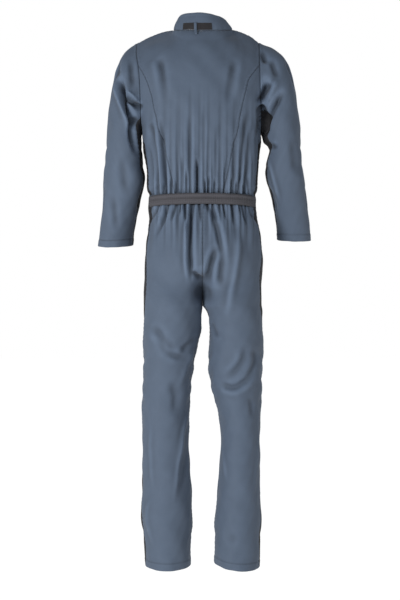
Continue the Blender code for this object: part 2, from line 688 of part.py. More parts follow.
def side_strip(side, name, finish):
    """The black strip from the armpit to the hem."""
    surface = trunk_and_leg(side)
    downs = [ARMPIT + 0.006] + side_downs()[1:] + leg_downs()
    places = []
    for down in downs:
        row = read(SIDE_STRIPS, down)
        places.append([(around, down) for around in spread(row.back, row.front, 3)])
    points, normals = sampled(surface, places, BODY_TURN * side)
    drawn = drawn_in(points)
    return wall(name, drawn, drawn - normals * WALL, finish)


def waistband(finish):
    """The elastic band across the back, from side strip to side strip."""
    halves = []
    for side in (LEFT, RIGHT):
        surface = trunk_and_leg(side)
        places = [[(a, down) for a in band_shares(side)] for down in (BAND_TOP, BAND_FOOT)]
        points, normals = sampled(surface, places, BODY_TURN * side)
        normals[:, 0] = unit_rows(normals[:, 0] * np.array([0.0, 1.0, 1.0]))
        halves.append((points, normals))
    points = np.concatenate([halves[0][0][:, :0:-1], halves[1][0]], axis=1)
    normals = np.concatenate([halves[0][1][:, :0:-1], halves[1][1]], axis=1)
    drawn = drawn_in(points)
    for end, inner in ((0, 1), (-1, -2)):
        drawn[:, end] += unit_rows(points[:, inner] - points[:, end]) * GAP
    return wall("waistband", drawn, drawn - normals * BAND_WALL, finish)


def sleeve_alongs():
    columns, key = SLEEVE_TABLE
    return [0.0, 0.022] + columns[key][1:]


def strip_edges(side, along):
    row = read(UNDER_STRIPS, along)
    return math.pi * pick(row, "back", side), math.pi * pick(row, "front", side)


def sleeve_piece(side, name, under, finish):
    """The sleeve from one edge of the black strip round to the other, or the strip itself."""
    steps = UNDER_COLUMNS if under else 2 * ARM_ROWS - UNDER_COLUMNS

    def surface(angle, along):
        return sleeve_skin(side, angle, along)

    places = []
    for along in sleeve_alongs():
        back, front_edge = strip_edges(side, along)
        start, end = (back, front_edge) if under else (front_edge - 2 * math.pi, back)
        places.append([(angle, along) for angle in spread(start, end, steps)])
    points, normals = sampled(surface, places, side)
    drawn = drawn_in(points)
    for j, (angle, _) in enumerate(places[0]):
        start, normals[0, j] = armhole_edge(side, angle, side)
        drawn[0, j] = start + drawn[0, j] - points[0, j] - unit_rows(points[1] - points[0])[j] * GAP / 2
    return wall(name, drawn, drawn - normals * WALL, finish)


# ---- collar, label and zip


def neck_angles():
    """Places round the neck, as on the back and fronts, from one side of the zip to the other."""
    quarter = [share / NECK_SHARE * math.pi / 2 for share in top_shares()[: NECK_COLUMNS + 1]]
    opening = zip_share(RIGHT, 0.0) / NECK_SHARE * math.pi / 2
    half = quarter + [math.pi - angle for angle in quarter[-2:0:-1]] + [math.pi - opening]
    return [-angle for angle in half[:0:-1]] + half


def stand_collar(finish):
    places = [[(angle, up) for angle in neck_angles()] for up in COLLAR_UPS]
    points, normals = sampled(collar, places, 1)
    drawn = points.copy()
    for j, point in enumerate(points[0]):
        drawn[0, j], normals[0, j] = neck_edge(point, 1)
    return wall("collar", drawn, drawn - normals * COLLAR_WALL, finish)


def neck_label(finish):
    """The blank label on the outside of the collar, made from the collar's own points."""
    places = [[(angle, up) for angle in spread(*LABEL_ANGLES, 6)] for up in LABEL_UPS]
    points, normals = sampled(collar, places, 1)
    return wall("neck_label", points + normals * (GAP + LABEL_WALL), points + normals * GAP, finish)


def hanger_loop(finish):
    """A narrow strip over the label, which hangs over the collar's seam."""
    on_neck = [[(angle, up) for angle in LOOP_ANGLES] for up in LABEL_UPS[::-1]]
    shares = [abs(angle) / (math.pi / 2) * NECK_SHARE for angle in LOOP_ANGLES]
    on_back = [[(share, down) for share in shares] for down in LOOP_DOWNS]
    upper, upper_out = sampled(collar, on_neck, 1)
    lower, lower_out = sampled(trunk_and_leg(LEFT), on_back, -BODY_TURN)
    points, normals = np.concatenate([upper, lower]), np.concatenate([upper_out, lower_out])
    clear = 2 * GAP + LABEL_WALL
    return wall("hanger_loop", points + normals * (clear + LOOP_WALL), points + normals * clear, finish)


def front_line(offset):
    """The line down the middle of the front, this far to one side, and the form's normals along it."""
    side = LEFT if offset < 0 else RIGHT
    opening = math.asin(abs(offset) / NECK_HALF)
    line = []
    for up in (0.97, CHAIN_TOP, 0.50, 0.25, 0.04):
        angle = side * (math.pi - opening)
        line.append((collar(angle, up), slope(collar, angle, up, 1)))
    surface = trunk_and_leg(side)
    downs = armhole_downs()[1:] + side_downs()[1:] + [d for d in leg_downs() if d < ZIP_FOOT + ZIP_CLOSE]
    for down in downs:
        share = share_at(side, down, max(abs(offset), 1e-4))
        line.append((surface(2 - share, down), slope(surface, 2 - share, down, BODY_TURN * side)))
    return line


def along_front(name, half, depth, thick, skip, finish):
    """A strip behind the fronts' edges, from the collar to the foot of the zip."""
    lines = [front_line(offset)[skip:] for offset in (-half, 0.0, half)]
    points = np.array([[spot for spot, _ in line] for line in lines]).transpose(1, 0, 2)
    normals = np.array([[out for _, out in line] for line in lines]).transpose(1, 0, 2)
    return wall(name, points - normals * depth, points - normals * (depth + thick), finish)


def block(shape, size, centre):
    made = bmesh.ops.create_cube(shape, size=1.0)
    bmesh.ops.scale(shape, vec=size, verts=made["verts"])
    bmesh.ops.translate(shape, vec=centre, verts=made["verts"])


def hidden(made):
    made.hide_render = True
    made.display_type = "WIRE"
    return made


def joined(made, operation, other):
    step = made.modifiers.new(operation.lower(), "BOOLEAN")
    step.operation = operation
    step.solver = "EXACT"
    step.object = hidden(other)


def rounded(made, width):
    step = made.modifiers.new("edges", "BEVEL")
    step.width = width
    step.segments = 2
    step.limit_method = "ANGLE"


def zip_frame():
    """An empty where the slider is: X across the collar, Y out of the cloth and Z up the collar."""
    spot, out = collar(math.pi, SLIDER_AT), slope(collar, math.pi, SLIDER_AT, 1)
    empty = bpy.data.objects.new("zip_place", None)
    bpy.context.scene.collection.objects.link(empty)
    empty.location = spot
    empty.rotation_euler = (math.atan2(out[2], out[1]), 0.0, 0.0)
    return empty


def boxed(name, size, centre, finish, place):
    shape = bmesh.new()
    block(shape, size, centre)
    made = placed(name, shape, finish)
    made.parent = place
    return made


def slider_and_pull(finish):
    """The slider stands on the tape above the chain. Its pull hangs by a bar through the bridge."""
    place = zip_frame()
    back = -TAPE_DEPTH + GAP
    face = back + SLIDER[1]
    slider = boxed("zip_slider", SLIDER, (0.0, back + SLIDER[1] / 2, 0.0), finish, place)
    rounded(slider, 0.0006)
    bridge_size = (BRIDGE[0], BRIDGE[1] + BRIDGE_SUNK, BRIDGE[2])
    bridge_middle = face + (BRIDGE[1] - BRIDGE_SUNK) / 2
    joined(slider, "UNION", boxed("bridge", bridge_size, (0.0, bridge_middle, 0.0), finish, place))
    hinge = bpy.data.objects.new("zip_hinge", None)
    bpy.context.scene.collection.objects.link(hinge)
    hinge.parent = place
    hinge.location = (0.0, face + AXIS_HEIGHT, 0.0)
    tunnel = (2 * BRIDGE[0], TUNNEL[0], TUNNEL[1])
    joined(slider, "DIFFERENCE", boxed("tunnel", tunnel, (0.0, 0.0, 0.0), finish, hinge))
    pull = boxed("zip_pull", PULL, (0.0, 0.0, (PULL_BAR - PULL[2]) / 2), finish, hinge)
    window = (PULL_WINDOW[0], 2 * PULL[2], PULL_WINDOW[1])
    window_middle = -(PULL_BAR + PULL_WINDOW[1]) / 2
    joined(pull, "DIFFERENCE", boxed("window", window, (0.0, 0.0, window_middle), finish, hinge))
    rounded(pull, 0.00025)


def build():
    for old in list(bpy.data.objects):
        bpy.data.objects.remove(old, do_unlink=True)
    twill = material("twill", (0.105, 0.145, 0.200), 0.85)
    black = material("black_twill", (0.012, 0.012, 0.016), 0.85)
    elastic = material("elastic", (0.085, 0.082, 0.090), 0.90)
    tape = material("zip_tape", (0.015, 0.015, 0.018), 0.80)
    coil = material("zip_coil", (0.010, 0.010, 0.012), 0.45)
    metal = material("zip_metal", (0.25, 0.25, 0.26), 0.35, 1.0)
    back_centre(twill)
    waistband(elastic)
    for side, word in ((LEFT, "left"), (RIGHT, "right")):
        back_side(side, f"back_side_{word}", twill)
        front(side, f"front_{word}", twill)
        front_leg(side, f"front_leg_{word}", twill)
        back_leg(side, f"back_leg_{word}", twill)
        side_strip(side, f"side_strip_{word}", black)
        sleeve_piece(side, f"sleeve_{word}", False, twill)
        sleeve_piece(side, f"sleeve_under_{word}", True, black)
    stand_collar(twill)
    neck_label(tape)
    hanger_loop(twill)
    along_front("zip_tape", TAPE_HALF, TAPE_DEPTH, TAPE_WALL, 0, tape)
    along_front("zip_chain", CHAIN_HALF, TAPE_DEPTH - CHAIN_LIFT - CHAIN_WALL, CHAIN_WALL, 1, coil)
    slider_and_pull(metal)


build()
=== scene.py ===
"""Looks of the boiler suit: cloth shells with their creases, seams, stitches, elastic, zip, light and camera.

Metres, +Z up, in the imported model's frame. The back faces -Y and the wearer's left is -X. Every shell lies on
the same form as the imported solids: the tables of that form come first, then the creases, then the pieces.
"""

import json
import math
from types import SimpleNamespace

import bpy
import numpy as np
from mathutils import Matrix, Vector

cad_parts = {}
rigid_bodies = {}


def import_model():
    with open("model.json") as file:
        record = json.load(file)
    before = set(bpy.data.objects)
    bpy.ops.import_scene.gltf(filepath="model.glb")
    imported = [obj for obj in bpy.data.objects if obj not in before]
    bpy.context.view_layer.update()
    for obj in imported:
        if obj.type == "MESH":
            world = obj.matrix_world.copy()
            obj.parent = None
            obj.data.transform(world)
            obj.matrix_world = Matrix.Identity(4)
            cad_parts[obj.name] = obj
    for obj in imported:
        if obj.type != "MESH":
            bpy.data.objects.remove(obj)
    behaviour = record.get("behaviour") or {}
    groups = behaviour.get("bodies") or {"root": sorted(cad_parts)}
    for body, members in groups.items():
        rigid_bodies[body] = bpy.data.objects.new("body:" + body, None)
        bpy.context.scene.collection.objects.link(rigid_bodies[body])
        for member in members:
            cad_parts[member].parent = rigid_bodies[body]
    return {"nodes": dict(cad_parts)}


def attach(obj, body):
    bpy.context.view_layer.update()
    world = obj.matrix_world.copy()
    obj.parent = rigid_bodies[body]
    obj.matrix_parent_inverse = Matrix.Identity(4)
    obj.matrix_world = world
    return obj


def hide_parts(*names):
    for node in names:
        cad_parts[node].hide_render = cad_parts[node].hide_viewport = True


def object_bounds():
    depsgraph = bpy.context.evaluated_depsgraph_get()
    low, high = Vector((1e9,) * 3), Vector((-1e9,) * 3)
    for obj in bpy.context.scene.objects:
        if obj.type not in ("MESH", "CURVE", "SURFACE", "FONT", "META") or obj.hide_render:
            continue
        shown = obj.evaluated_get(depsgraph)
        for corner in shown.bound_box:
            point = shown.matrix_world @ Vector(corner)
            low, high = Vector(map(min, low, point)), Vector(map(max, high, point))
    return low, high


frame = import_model()
CAD_LOW, CAD_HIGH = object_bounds()

# ---- sizes of the form, as the solids have them, and of what lies on it

WALL = 0.0012
BAND_WALL = 0.0020
COLLAR_WALL = 0.0020
ARMPIT = 0.270
BAND_TOP = 0.4445
BAND_FOOT = 0.4720
HIP = 0.575
CROTCH = 0.745
FORK_LATE = 2.5
HEM = 1.457
NECK_HALF = 0.081
NECK_SIDE_Z = 0.018
NECK_SHARE = 0.45
SHOULDER_REACH = 0.12
SHOULDER_BLEND = 0.22  # of a row: within this the corner at the neck's side softens further down
SHOULDER_BLEND_AT = 0.035
COLLAR_TOP = 0.050
COLLAR_TOP_HALF = 0.066
COLLAR_FRONT_DROP = 0.030
COLLAR_DEPTH_SHARE = 0.86
COLLAR_SWELL = 0.003
COLLAR_SHIFT = -0.003
COLLAR_TILT = 0.050
LEFT_SHOULDER_DROP = 0.004
ZIP_HALF = 0.0075
ZIP_FOOT = 0.640
ZIP_CLOSE = 0.020
TAPE_HALF = 0.0150
TAPE_DEPTH = 0.0048
CHAIN_HALF = 0.0030
CHAIN_TOP = 0.70
LABEL_WALL = 0.0009
LABEL_ANGLES = (-0.72, 0.32)
LABEL_UPS = (0.04, 0.41)
LOOP_WALL = 0.0014
LOOP_ANGLES = (-0.27, -0.19)
LOOP_DOWN = 0.014
GAP = 0.0003
SHOULDER_RISE = 0.026
SEAM_START = ARMPIT * (1 - math.cos(math.pi * 3 / 8)) / 2  # where a shaped back seam leaves the armhole
SEAM_START_ANGLE = math.pi * 3 / 8
STRIP_TOP = ARMPIT + 0.006
STEP = 0.0004
SLEEVE_BLEND = 0.075
SLEEVE_LENGTH = 0.570

LEFT, RIGHT = -1, 1
BACK, FRONT = -1, 1
BODY_TURN = -1
MM = 0.001


def table(columns, *rows):
    """Rows of numbers under named columns, the first of which places the row."""
    names = columns.split()
    values = np.array(rows, float)
    return {name: values[:, i] for i, name in enumerate(names)}, names[0]


def read(made, place):
    """Every column at some places, on a smooth curve through its rows."""
    columns, key = made
    stations = columns[key]
    place = np.clip(place, stations[0], stations[-1])
    i = np.clip(np.searchsorted(stations, place, "right") - 1, 0, len(stations) - 2)
    low, high = np.maximum(i - 1, 0), np.minimum(i + 2, len(stations) - 1)
    span = stations[i + 1] - stations[i]
    t = (place - stations[i]) / span
    found = {}
    for name, values in columns.items():
        start = (values[i + 1] - values[low]) / (stations[i + 1] - stations[low]) * span
        end = (values[high] - values[i]) / (stations[high] - stations[i]) * span
        rise = values[i + 1] - values[i]
        bend = (start - rise) * (1 - t) - (end - rise) * t
        found[name] = values[i] + rise * t + t * (1 - t) * bend
    return SimpleNamespace(**found)


# The trunk. left and right: half-width at the armhole or side. y_mid and y_edge: depth on the centre line
# and at the edge. mid_drop and edge_drop: how much lower than the row the cloth is there. turn: degrees that
# the row turns through from the centre line to its edge. square: fullness between the two.
BACK_ROWS = table(
    "down    left    right   y_mid    y_edge   mid_drop edge_drop turn  square",
    (0.0000, 0.1820, 0.1550, -0.0640, +0.0000, 0.0000, 0.0170, 60.0, 0.00),
    (0.0395, 0.1795, 0.1550, -0.0880, -0.0360, 0.0000, 0.0160, 60.0, 0.00),
    (0.0834, 0.1745, 0.1550, -0.1020, -0.0540, 0.0000, 0.0080, 60.0, 0.00),
    (0.1350, 0.1705, 0.1560, -0.1120, -0.0620, 0.0000, 0.0020, 60.0, 0.00),
    (0.1866, 0.1690, 0.1580, -0.1170, -0.0600, 0.0000, 0.0000, 62.0, 0.00),
    (0.2305, 0.1680, 0.1605, -0.1180, -0.0430, 0.0000, 0.0000, 72.0, 0.01),
    (0.2700, 0.1670, 0.1610, -0.1170, +0.0000, 0.0000, 0.0000, 90.0, 0.04),
    (0.3150, 0.1630, 0.1590, -0.1140, +0.0000, 0.0000, 0.0000, 90.0, 0.05),
    (0.3650, 0.1560, 0.1555, -0.1100, +0.0000, 0.0000, 0.0010, 90.0, 0.05),
    (0.4200, 0.1540, 0.1515, -0.1060, +0.0000, 0.0000, 0.0030, 90.0, 0.05),
    (0.4445, 0.1505, 0.1480, -0.1010, +0.0000, 0.0000, 0.0040, 90.0, 0.04),
    (0.4720, 0.1490, 0.1470, -0.1000, +0.0000, 0.0000, 0.0040, 90.0, 0.04),
    (0.4980, 0.1465, 0.1500, -0.1080, +0.0000, 0.0000, 0.0030, 90.0, 0.05),
    (0.5300, 0.1500, 0.1580, -0.1170, +0.0000, 0.0000, 0.0010, 90.0, 0.05),
    (0.5750, 0.1560, 0.1640, -0.1240, +0.0000, 0.0000, 0.0000, 90.0, 0.05),
    (0.6400, 0.1580, 0.1665, -0.1270, +0.0000, 0.0000, 0.0000, 90.0, 0.05),
    (0.7450, 0.1620, 0.1630, -0.1230, +0.0000, 0.0000, 0.0000, 90.0, 0.04),
)
FRONT_ROWS = table(
    "down    left    right   y_mid    y_edge   mid_drop edge_drop turn  square",
    (0.0000, 0.1820, 0.1550, +0.0600, +0.0000, 0.0520, 0.0170, 60.0, 0.00),
    (0.0395, 0.1745, 0.1520, +0.0860, +0.0340, 0.0440, 0.0160, 60.0, 0.00),
    (0.0834, 0.1650, 0.1490, +0.1040, +0.0510, 0.0330, 0.0080, 60.0, 0.00),
    (0.1350, 0.1610, 0.1480, +0.1170, +0.0580, 0.0180, 0.0020, 60.0, 0.00),
    (0.1866, 0.1620, 0.1520, +0.1240, +0.0560, 0.0060, 0.0000, 62.0, 0.00),
    (0.2305, 0.1650, 0.1570, +0.1250, +0.0420, 0.0010, 0.0000, 72.0, 0.01),
    (0.2700, 0.1670, 0.1610, +0.1240, +0.0000, 0.0000, 0.0000, 90.0, 0.04),
    (0.3150, 0.1630, 0.1590, +0.1210, +0.0000, 0.0000, 0.0000, 90.0, 0.05),
    (0.3650, 0.1560, 0.1555, +0.1180, +0.0000, 0.0000, 0.0010, 90.0, 0.05),
    (0.4200, 0.1540, 0.1515, +0.1150, +0.0000, 0.0000, 0.0030, 90.0, 0.05),
    (0.4445, 0.1505, 0.1480, +0.1130, +0.0000, 0.0000, 0.0040, 90.0, 0.05),
    (0.4720, 0.1490, 0.1470, +0.1125, +0.0000, 0.0000, 0.0040, 90.0, 0.05),
    (0.4980, 0.1465, 0.1500, +0.1130, +0.0000, 0.0000, 0.0030, 90.0, 0.05),
    (0.5300, 0.1500, 0.1580, +0.1140, +0.0000, 0.0000, 0.0010, 90.0, 0.05),
    (0.5750, 0.1560, 0.1640, +0.1150, +0.0000, 0.0000, 0.0000, 90.0, 0.05),
    (0.6400, 0.1580, 0.1665, +0.1150, +0.0000, 0.0000, 0.0000, 90.0, 0.05),
    (0.7450, 0.1620, 0.1630, +0.1080, +0.0000, 0.0000, 0.0000, 90.0, 0.04),
)
# The legs. out and half: the middle of a leg from the centre line, and its half-width. tilt: how much lower
# its outer side is than its middle.
LEG_TABLE = table(
    "down   out_left half_left tilt_left out_right half_right tilt_right y_mid  deep",
    (0.745, 0.0812, 0.0812, 0.000, 0.0815, 0.0815, 0.000, -0.006, 0.112),
    (0.764, 0.0818, 0.0813, 0.000, 0.0885, 0.0770, 0.000, -0.006, 0.110),
    (0.800, 0.0830, 0.0808, 0.000, 0.0925, 0.0750, 0.000, -0.005, 0.106),
    (0.831, 0.0860, 0.0780, 0.000, 0.0940, 0.0735, 0.000, -0.004, 0.103),
    (0.897, 0.0930, 0.0710, 0.000, 0.0910, 0.0765, 0.000, -0.001, 0.096),
    (0.964, 0.0980, 0.0685, 0.000, 0.0940, 0.0715, 0.000, +0.002, 0.091),
    (1.063, 0.1025, 0.0650, 0.000, 0.1040, 0.0565, 0.000, +0.002, 0.087),
    (1.196, 0.1000, 0.0675, 0.000, 0.1025, 0.0575, 0.001, -0.002, 0.086),
    (1.329, 0.0985, 0.0705, 0.000, 0.0985, 0.0635, 0.003, -0.006, 0.085),
    (1.396, 0.0970, 0.0655, 0.000, 0.0965, 0.0640, 0.004, -0.008, 0.084),
    (1.457, 0.0950, 0.0620, 0.000, 0.0955, 0.0610, 0.005, -0.008, 0.084),
)
# The sleeves, ring by ring from the armhole to the cuff: the ring's outer and inner point, and its depth.
SLEEVE_TABLE = table(
    "along  out_left out_right out_z   in_left in_right in_z    y_mid  deep   lean   lift_right",
    (0.000, 0.1820, 0.1550, -0.0170, 0.1670, 0.1610, -0.2700, 0.000, 0.0600, 0.000, 0.000),
    (0.045, 0.2140, 0.2070, -0.0420, 0.1695, 0.1650, -0.2780, 0.000, 0.0660, 0.000, 0.000),
    (0.085, 0.2340, 0.2375, -0.0830, 0.1700, 0.1675, -0.2850, 0.000, 0.0700, 0.000, 0.000),
    (0.140, 0.2480, 0.2540, -0.1330, 0.1695, 0.1700, -0.2930, 0.000, 0.0720, 0.000, 0.000),
    (0.205, 0.2585, 0.2630, -0.1990, 0.1685, 0.1810, -0.3050, 0.000, 0.0720, 0.000, 0.000),
    (0.270, 0.2650, 0.2705, -0.2660, 0.1665, 0.1835, -0.3250, 0.002, 0.0700, 0.001, 0.000),
    (0.335, 0.2700, 0.2760, -0.3350, 0.1645, 0.1750, -0.3560, 0.008, 0.0670, 0.003, 0.000),
    (0.395, 0.2750, 0.2840, -0.3930, 0.1590, 0.1775, -0.3960, 0.018, 0.0640, 0.006, 0.000),
    (0.458, 0.2815, 0.2940, -0.4580, 0.1740, 0.1950, -0.4560, 0.040, 0.0590, 0.009, 0.005),
    (0.520, 0.2890, 0.3020, -0.5220, 0.1910, 0.2060, -0.5180, 0.063, 0.0530, 0.009, 0.011),
    (0.570, 0.2955, 0.3070, -0.5760, 0.1980, 0.2125, -0.5740, 0.080, 0.0480, 0.007, 0.016),
)
# The shaped back seams, and the black side strips, as shares of the way round from the middle of the back
# (0) over the side (1) to the middle of the front (2).
BACK_SEAMS = table(
    "down    left   right",
    (0.0834, 1.000, 1.000),
    (0.1300, 0.850, 0.755),
    (0.1700, 0.773, 0.661),
    (0.2100, 0.691, 0.573),
    (0.2305, 0.629, 0.516),
    (0.2600, 0.514, 0.415),
    (0.2770, 0.468, 0.376),
    (0.3440, 0.403, 0.317),
    (0.4106, 0.346, 0.264),
    (0.4445, 0.321, 0.239),
)
SIDE_STRIPS = table(
    "down   back   front",
    (0.270, 1.000, 1.000),
    (0.295, 0.910, 1.020),
    (0.330, 0.850, 1.030),
    (0.445, 0.815, 1.030),
    (0.600, 0.820, 1.030),
    (0.720, 0.860, 1.050),
    (0.790, 0.920, 1.100),
    (0.870, 1.010, 1.180),
    (1.080, 1.020, 1.190),
    (1.200, 0.990, 1.160),
    (1.330, 0.900, 1.070),
    (1.400, 0.870, 1.040),
    (1.457, 0.910, 1.080),
)
# The black under-sleeve's two edges, in half turns round the sleeve from its shoulder side over the back.
UNDER_STRIPS = table(
    "along  back_left front_left back_right front_right",
    (0.000, 0.750, 1.125, 0.750, 1.125),
    (0.090, 0.780, 1.080, 0.800, 1.080),
    (0.180, 0.830, 1.090, 0.850, 1.090),
    (0.290, 0.850, 1.100, 0.880, 1.110),
    (0.350, 0.860, 1.110, 0.900, 1.150),
    (0.420, 0.900, 1.150, 0.940, 1.200),
    (0.570, 0.950, 1.200, 0.950, 1.210),
)


# ---- creases

# In millimetres: a bent line through three points, half its width, and how deep it sinks (a ridge is
# negative). lean raises the cloth beside it, right of the line's way where positive. start and end: the share
# of the line over which it fades. part: 1 on trunk and legs, 2 on sleeves, 0 on both.
CREASE_COLUMNS = "part  x_from z_from  x_mid z_mid  x_to z_to  half depth lean  start end"
BACK_CREASES = table(
    CREASE_COLUMNS,
    # shoulder blades and the long drapes down the back
    (1, -119, -72, -107, -130, -97, -225, 11, 3, 0.4, 0.3, 0.5),
    (1, 89, -77, 76, -145, 63, -235, 11, 3, -0.4, 0.3, 0.5),
    (1, -113, -235, -111, -315, -103, -450, 7, 5.5, 0.3, 0.5, 0),
    (1, -141, -248, -133, -305, -118, -450, 7, 3, 0, 0.4, 0),
    (1, -152, -300, -144, -368, -136, -450, 5, 2.5, 0, 0.4, 0),
    (1, 117, -221, 111, -310, 101, -450, 7, 3.5, 0, 0.4, 0),
    (1, 132, -248, 128, -329, 120, -450, 6, 3, 0, 0.5, 0),
    (1, -39, -224, -37, -304, -36, -400, 7, 1.6, 0, 0.4, 0.4),
    (1, 2, -211, 1, -291, -1, -380, 7, 1.6, 0, 0.4, 0.4),
    (1, 36, -260, 36, -340, 31, -450, 6, 2.2, 0, 0.5, 0),
    # pleats into the top of the elastic
    (1, -126, -412, -127, -428, -128, -450, 3, 2.6, 0, 0.6, 0),
    (1, -111, -408, -111, -428, -112, -450, 3, 2.8, 0, 0.6, 0),
    (1, -84, -395, -86, -420, -88, -450, 4, 3.2, 0, 0.6, 0),
    (1, -71, -405, -72, -425, -73, -450, 3, 2.6, 0, 0.6, 0),
    (1, -61, -330, -56, -384, -59, -450, 5, 3, 0, 0.5, 0),
    (1, -43, -372, -44, -410, -45, -450, 4, 3.8, 0, 0.5, 0),
    (1, -16, -345, -15, -395, -16, -450, 4, 5, 0, 0.4, 0),
    (1, 6, -400, 7, -425, 6, -450, 3, 3, 0, 0.5, 0),
    (1, 18, -390, 17, -420, 17, -450, 4, 3.4, 0, 0.5, 0),
    (1, 34, -400, 33, -425, 33, -450, 3, 3, 0, 0.5, 0),
    (1, 66, -350, 61, -400, 59, -450, 5, 3.6, 0, 0.5, 0),
    (1, 78, -395, 78, -420, 77, -450, 3, 2.8, 0, 0.5, 0),
    (1, 95, -405, 95, -425, 95, -450, 4, 3.2, 0, 0.5, 0),
    (1, 113, -412, 114, -430, 114, -450, 3, 2.6, 0, 0.5, 0),
    (1, 128, -390, 130, -420, 131, -450, 4, 3.2, 0, 0.5, 0),
    # the seat, under the elastic
    (1, -94, -468, -108, -512, -130, -571, 6, 4.5, 0.3, 0, 0.6),
    (1, -120, -468, -128, -490, -137, -515, 4, 3, 0, 0, 0.6),
    (1, -74, -468, -78, -495, -84, -523, 4, 3.5, 0, 0, 0.6),
    (1, -47, -468, -45, -505, -41, -545, 4, 5, 0, 0, 0.5),
    (1, -60, -468, -61, -488, -63, -510, 3, 2.5, 0, 0, 0.6),
    (1, -26, -468, -34, -580, -27, -690, 7, 6, 0.5, 0, 0.3),
    (1, -39, -490, -42, -545, -40, -610, 6, -2.5, 0, 0.3, 0.4),
    (1, -7, -468, -5, -500, -4, -533, 4, 4, 0, 0, 0.6),
    (1, 12, -468, 36, -530, 61, -664, 8, 4, -0.4, 0, 0.4),
    (1, 28, -468, 33, -495, 40, -522, 4, 5, 0, 0, 0.5),
    (1, 42, -580, 24, -635, 12, -700, 10, 6, 0.3, 0.4, 0.3),
    (1, 45, -600, 50, -650, 40, -700, 10, 3.6, 0, 0.4, 0.3),
    (1, -26, -650, -14, -672, 2, -690, 6, 4, 0, 0.3, 0.3),
    (1, 57, -468, 60, -495, 63, -523, 4, 3.5, 0, 0, 0.6),
    (1, 79, -468, 83, -500, 88, -535, 4, 3.5, 0, 0, 0.6),
    (1, 97, -468, 100, -485, 103, -505, 3, 2.5, 0, 0, 0.6),
    (1, 108, -468, 113, -500, 119, -535, 4, 3.5, 0, 0, 0.6),
    (1, 128, -468, 133, -490, 138, -515, 4, 2.8, 0, 0, 0.6),
    (1, 92, -536, 87, -640, 58, -800, 11, -3.5, 0, 0.3, 0.3),
    (1, 0, -640, 0, -690, 0, -748, 20, 8, 0, 0.5, 0.35),
    # the left thigh and knee
    (1, -135, -793, -104, -836, -63, -873, 11, 2.9, 0.4, 0.3, 0.3),
    (1, -12, -825, -38, -852, -60, -873, 9, 2.3, 0, 0.3, 0.3),
    (1, -125, -820, -92, -872, -34, -881, 10, 2.9, -0.3, 0.3, 0.3),
    (1, -15, -866, -43, -905, -66, -976, 9, -2.3, 0, 0.3, 0.4),
    (1, -95, -940, -72, -990, -82, -1055, 13, 2.6, 0, 0.4, 0.4),
    (1, -36, -1041, -56, -1110, -80, -1305, 6, -2.3, 0, 0.2, 0.4),
    (1, -30, -1070, -40, -1160, -66, -1300, 11, 2.9, 0, 0.3, 0.4),
    (1, -142, -1265, -150, -1325, -129, -1403, 5, -1.4, 0, 0.3, 0.3),
    (1, -141, -1060, -140, -1150, -133, -1245, 5, -1.2, 0, 0.3, 0.3),
    # the right thigh and knee
    (1, 20, -790, 30, -812, 43, -836, 7, 2.9, 0, 0.2, 0.4),
    (1, 108, -845, 104, -900, 50, -945, 11, 2.9, 0.4, 0.4, 0.3),
    (1, 50, -944, 88, -964, 150, -915, 9, 3.1, 0.4, 0.3, 0.3),
    (1, 133, -860, 143, -897, 117, -945, 9, 2.9, 0, 0.3, 0.3),
    (1, 128, -985, 133, -1020, 136, -1056, 8, 1.7, 0, 0.4, 0.4),
    (1, 50, -1115, 60, -1175, 63, -1230, 4, -1.2, 0, 0.3, 0.4),
    (1, 149, -1000, 152, -1124, 134, -1285, 5, -1.4, 0, 0.3, 0.4),
    (1, 58, -1376, 78, -1370, 100, -1372, 15, 1.4, 0, 0.5, 0.5),
    # the left sleeve
    (2, -228, -118, -209, -195, -180, -268, 8, 13, 0.4, 0.3, 0.3),
    (0, -210, -172, -193, -192, -164, -213, 6, 9, 0, 0.3, 0.1),
    (2, -212, -158, -190, -178, -168, -190, 6, -4, 0, 0.3, 0.3),
    (2, -178, -228, -190, -272, -176, -345, 9, 10, 0, 0.3, 0.4),
    (2, -241, -78, -236, -102, -233, -127, 8, 3, 0, 0.4, 0.4),
    (2, -197, -60, -193, -115, -186, -165, 9, 3.5, 0, 0.4, 0.4),
    (2, -251, -430, -245, -490, -240, -545, 12, 2.5, 0, 0.4, 0.4),
    (2, -225, -330, -215, -395, -213, -450, 14, 2.5, 0, 0.4, 0.4),
    # the right sleeve
    (0, 180, -138, 168, -167, 156, -205, 8, 11, 0, 0.3, 0.2),
    (0, 157, -195, 166, -240, 160, -290, 11, 15, 0, 0.3, 0.3),
    (2, 222, -160, 194, -208, 163, -262, 8, 7, 0.3, 0.4, 0.2),
    (2, 200, -130, 188, -165, 172, -190, 8, -4, 0, 0.3, 0.3),
    (2, 184, -68, 194, -100, 202, -135, 9, 3, 0, 0.4, 0.4),
    (0, 160, -42, 167, -66, 174, -92, 8, 3.5, 0, 0.4, 0.4),
    (2, 172, -305, 186, -309, 206, -318, 7, 5, 0, 0, 0.5),
    (2, 178, -338, 195, -399, 216, -468, 4, -1.8, 0, 0.3, 0.3),
    (2, 240, -280, 250, -340, 262, -400, 14, 2.5, 0, 0.4, 0.4),
)
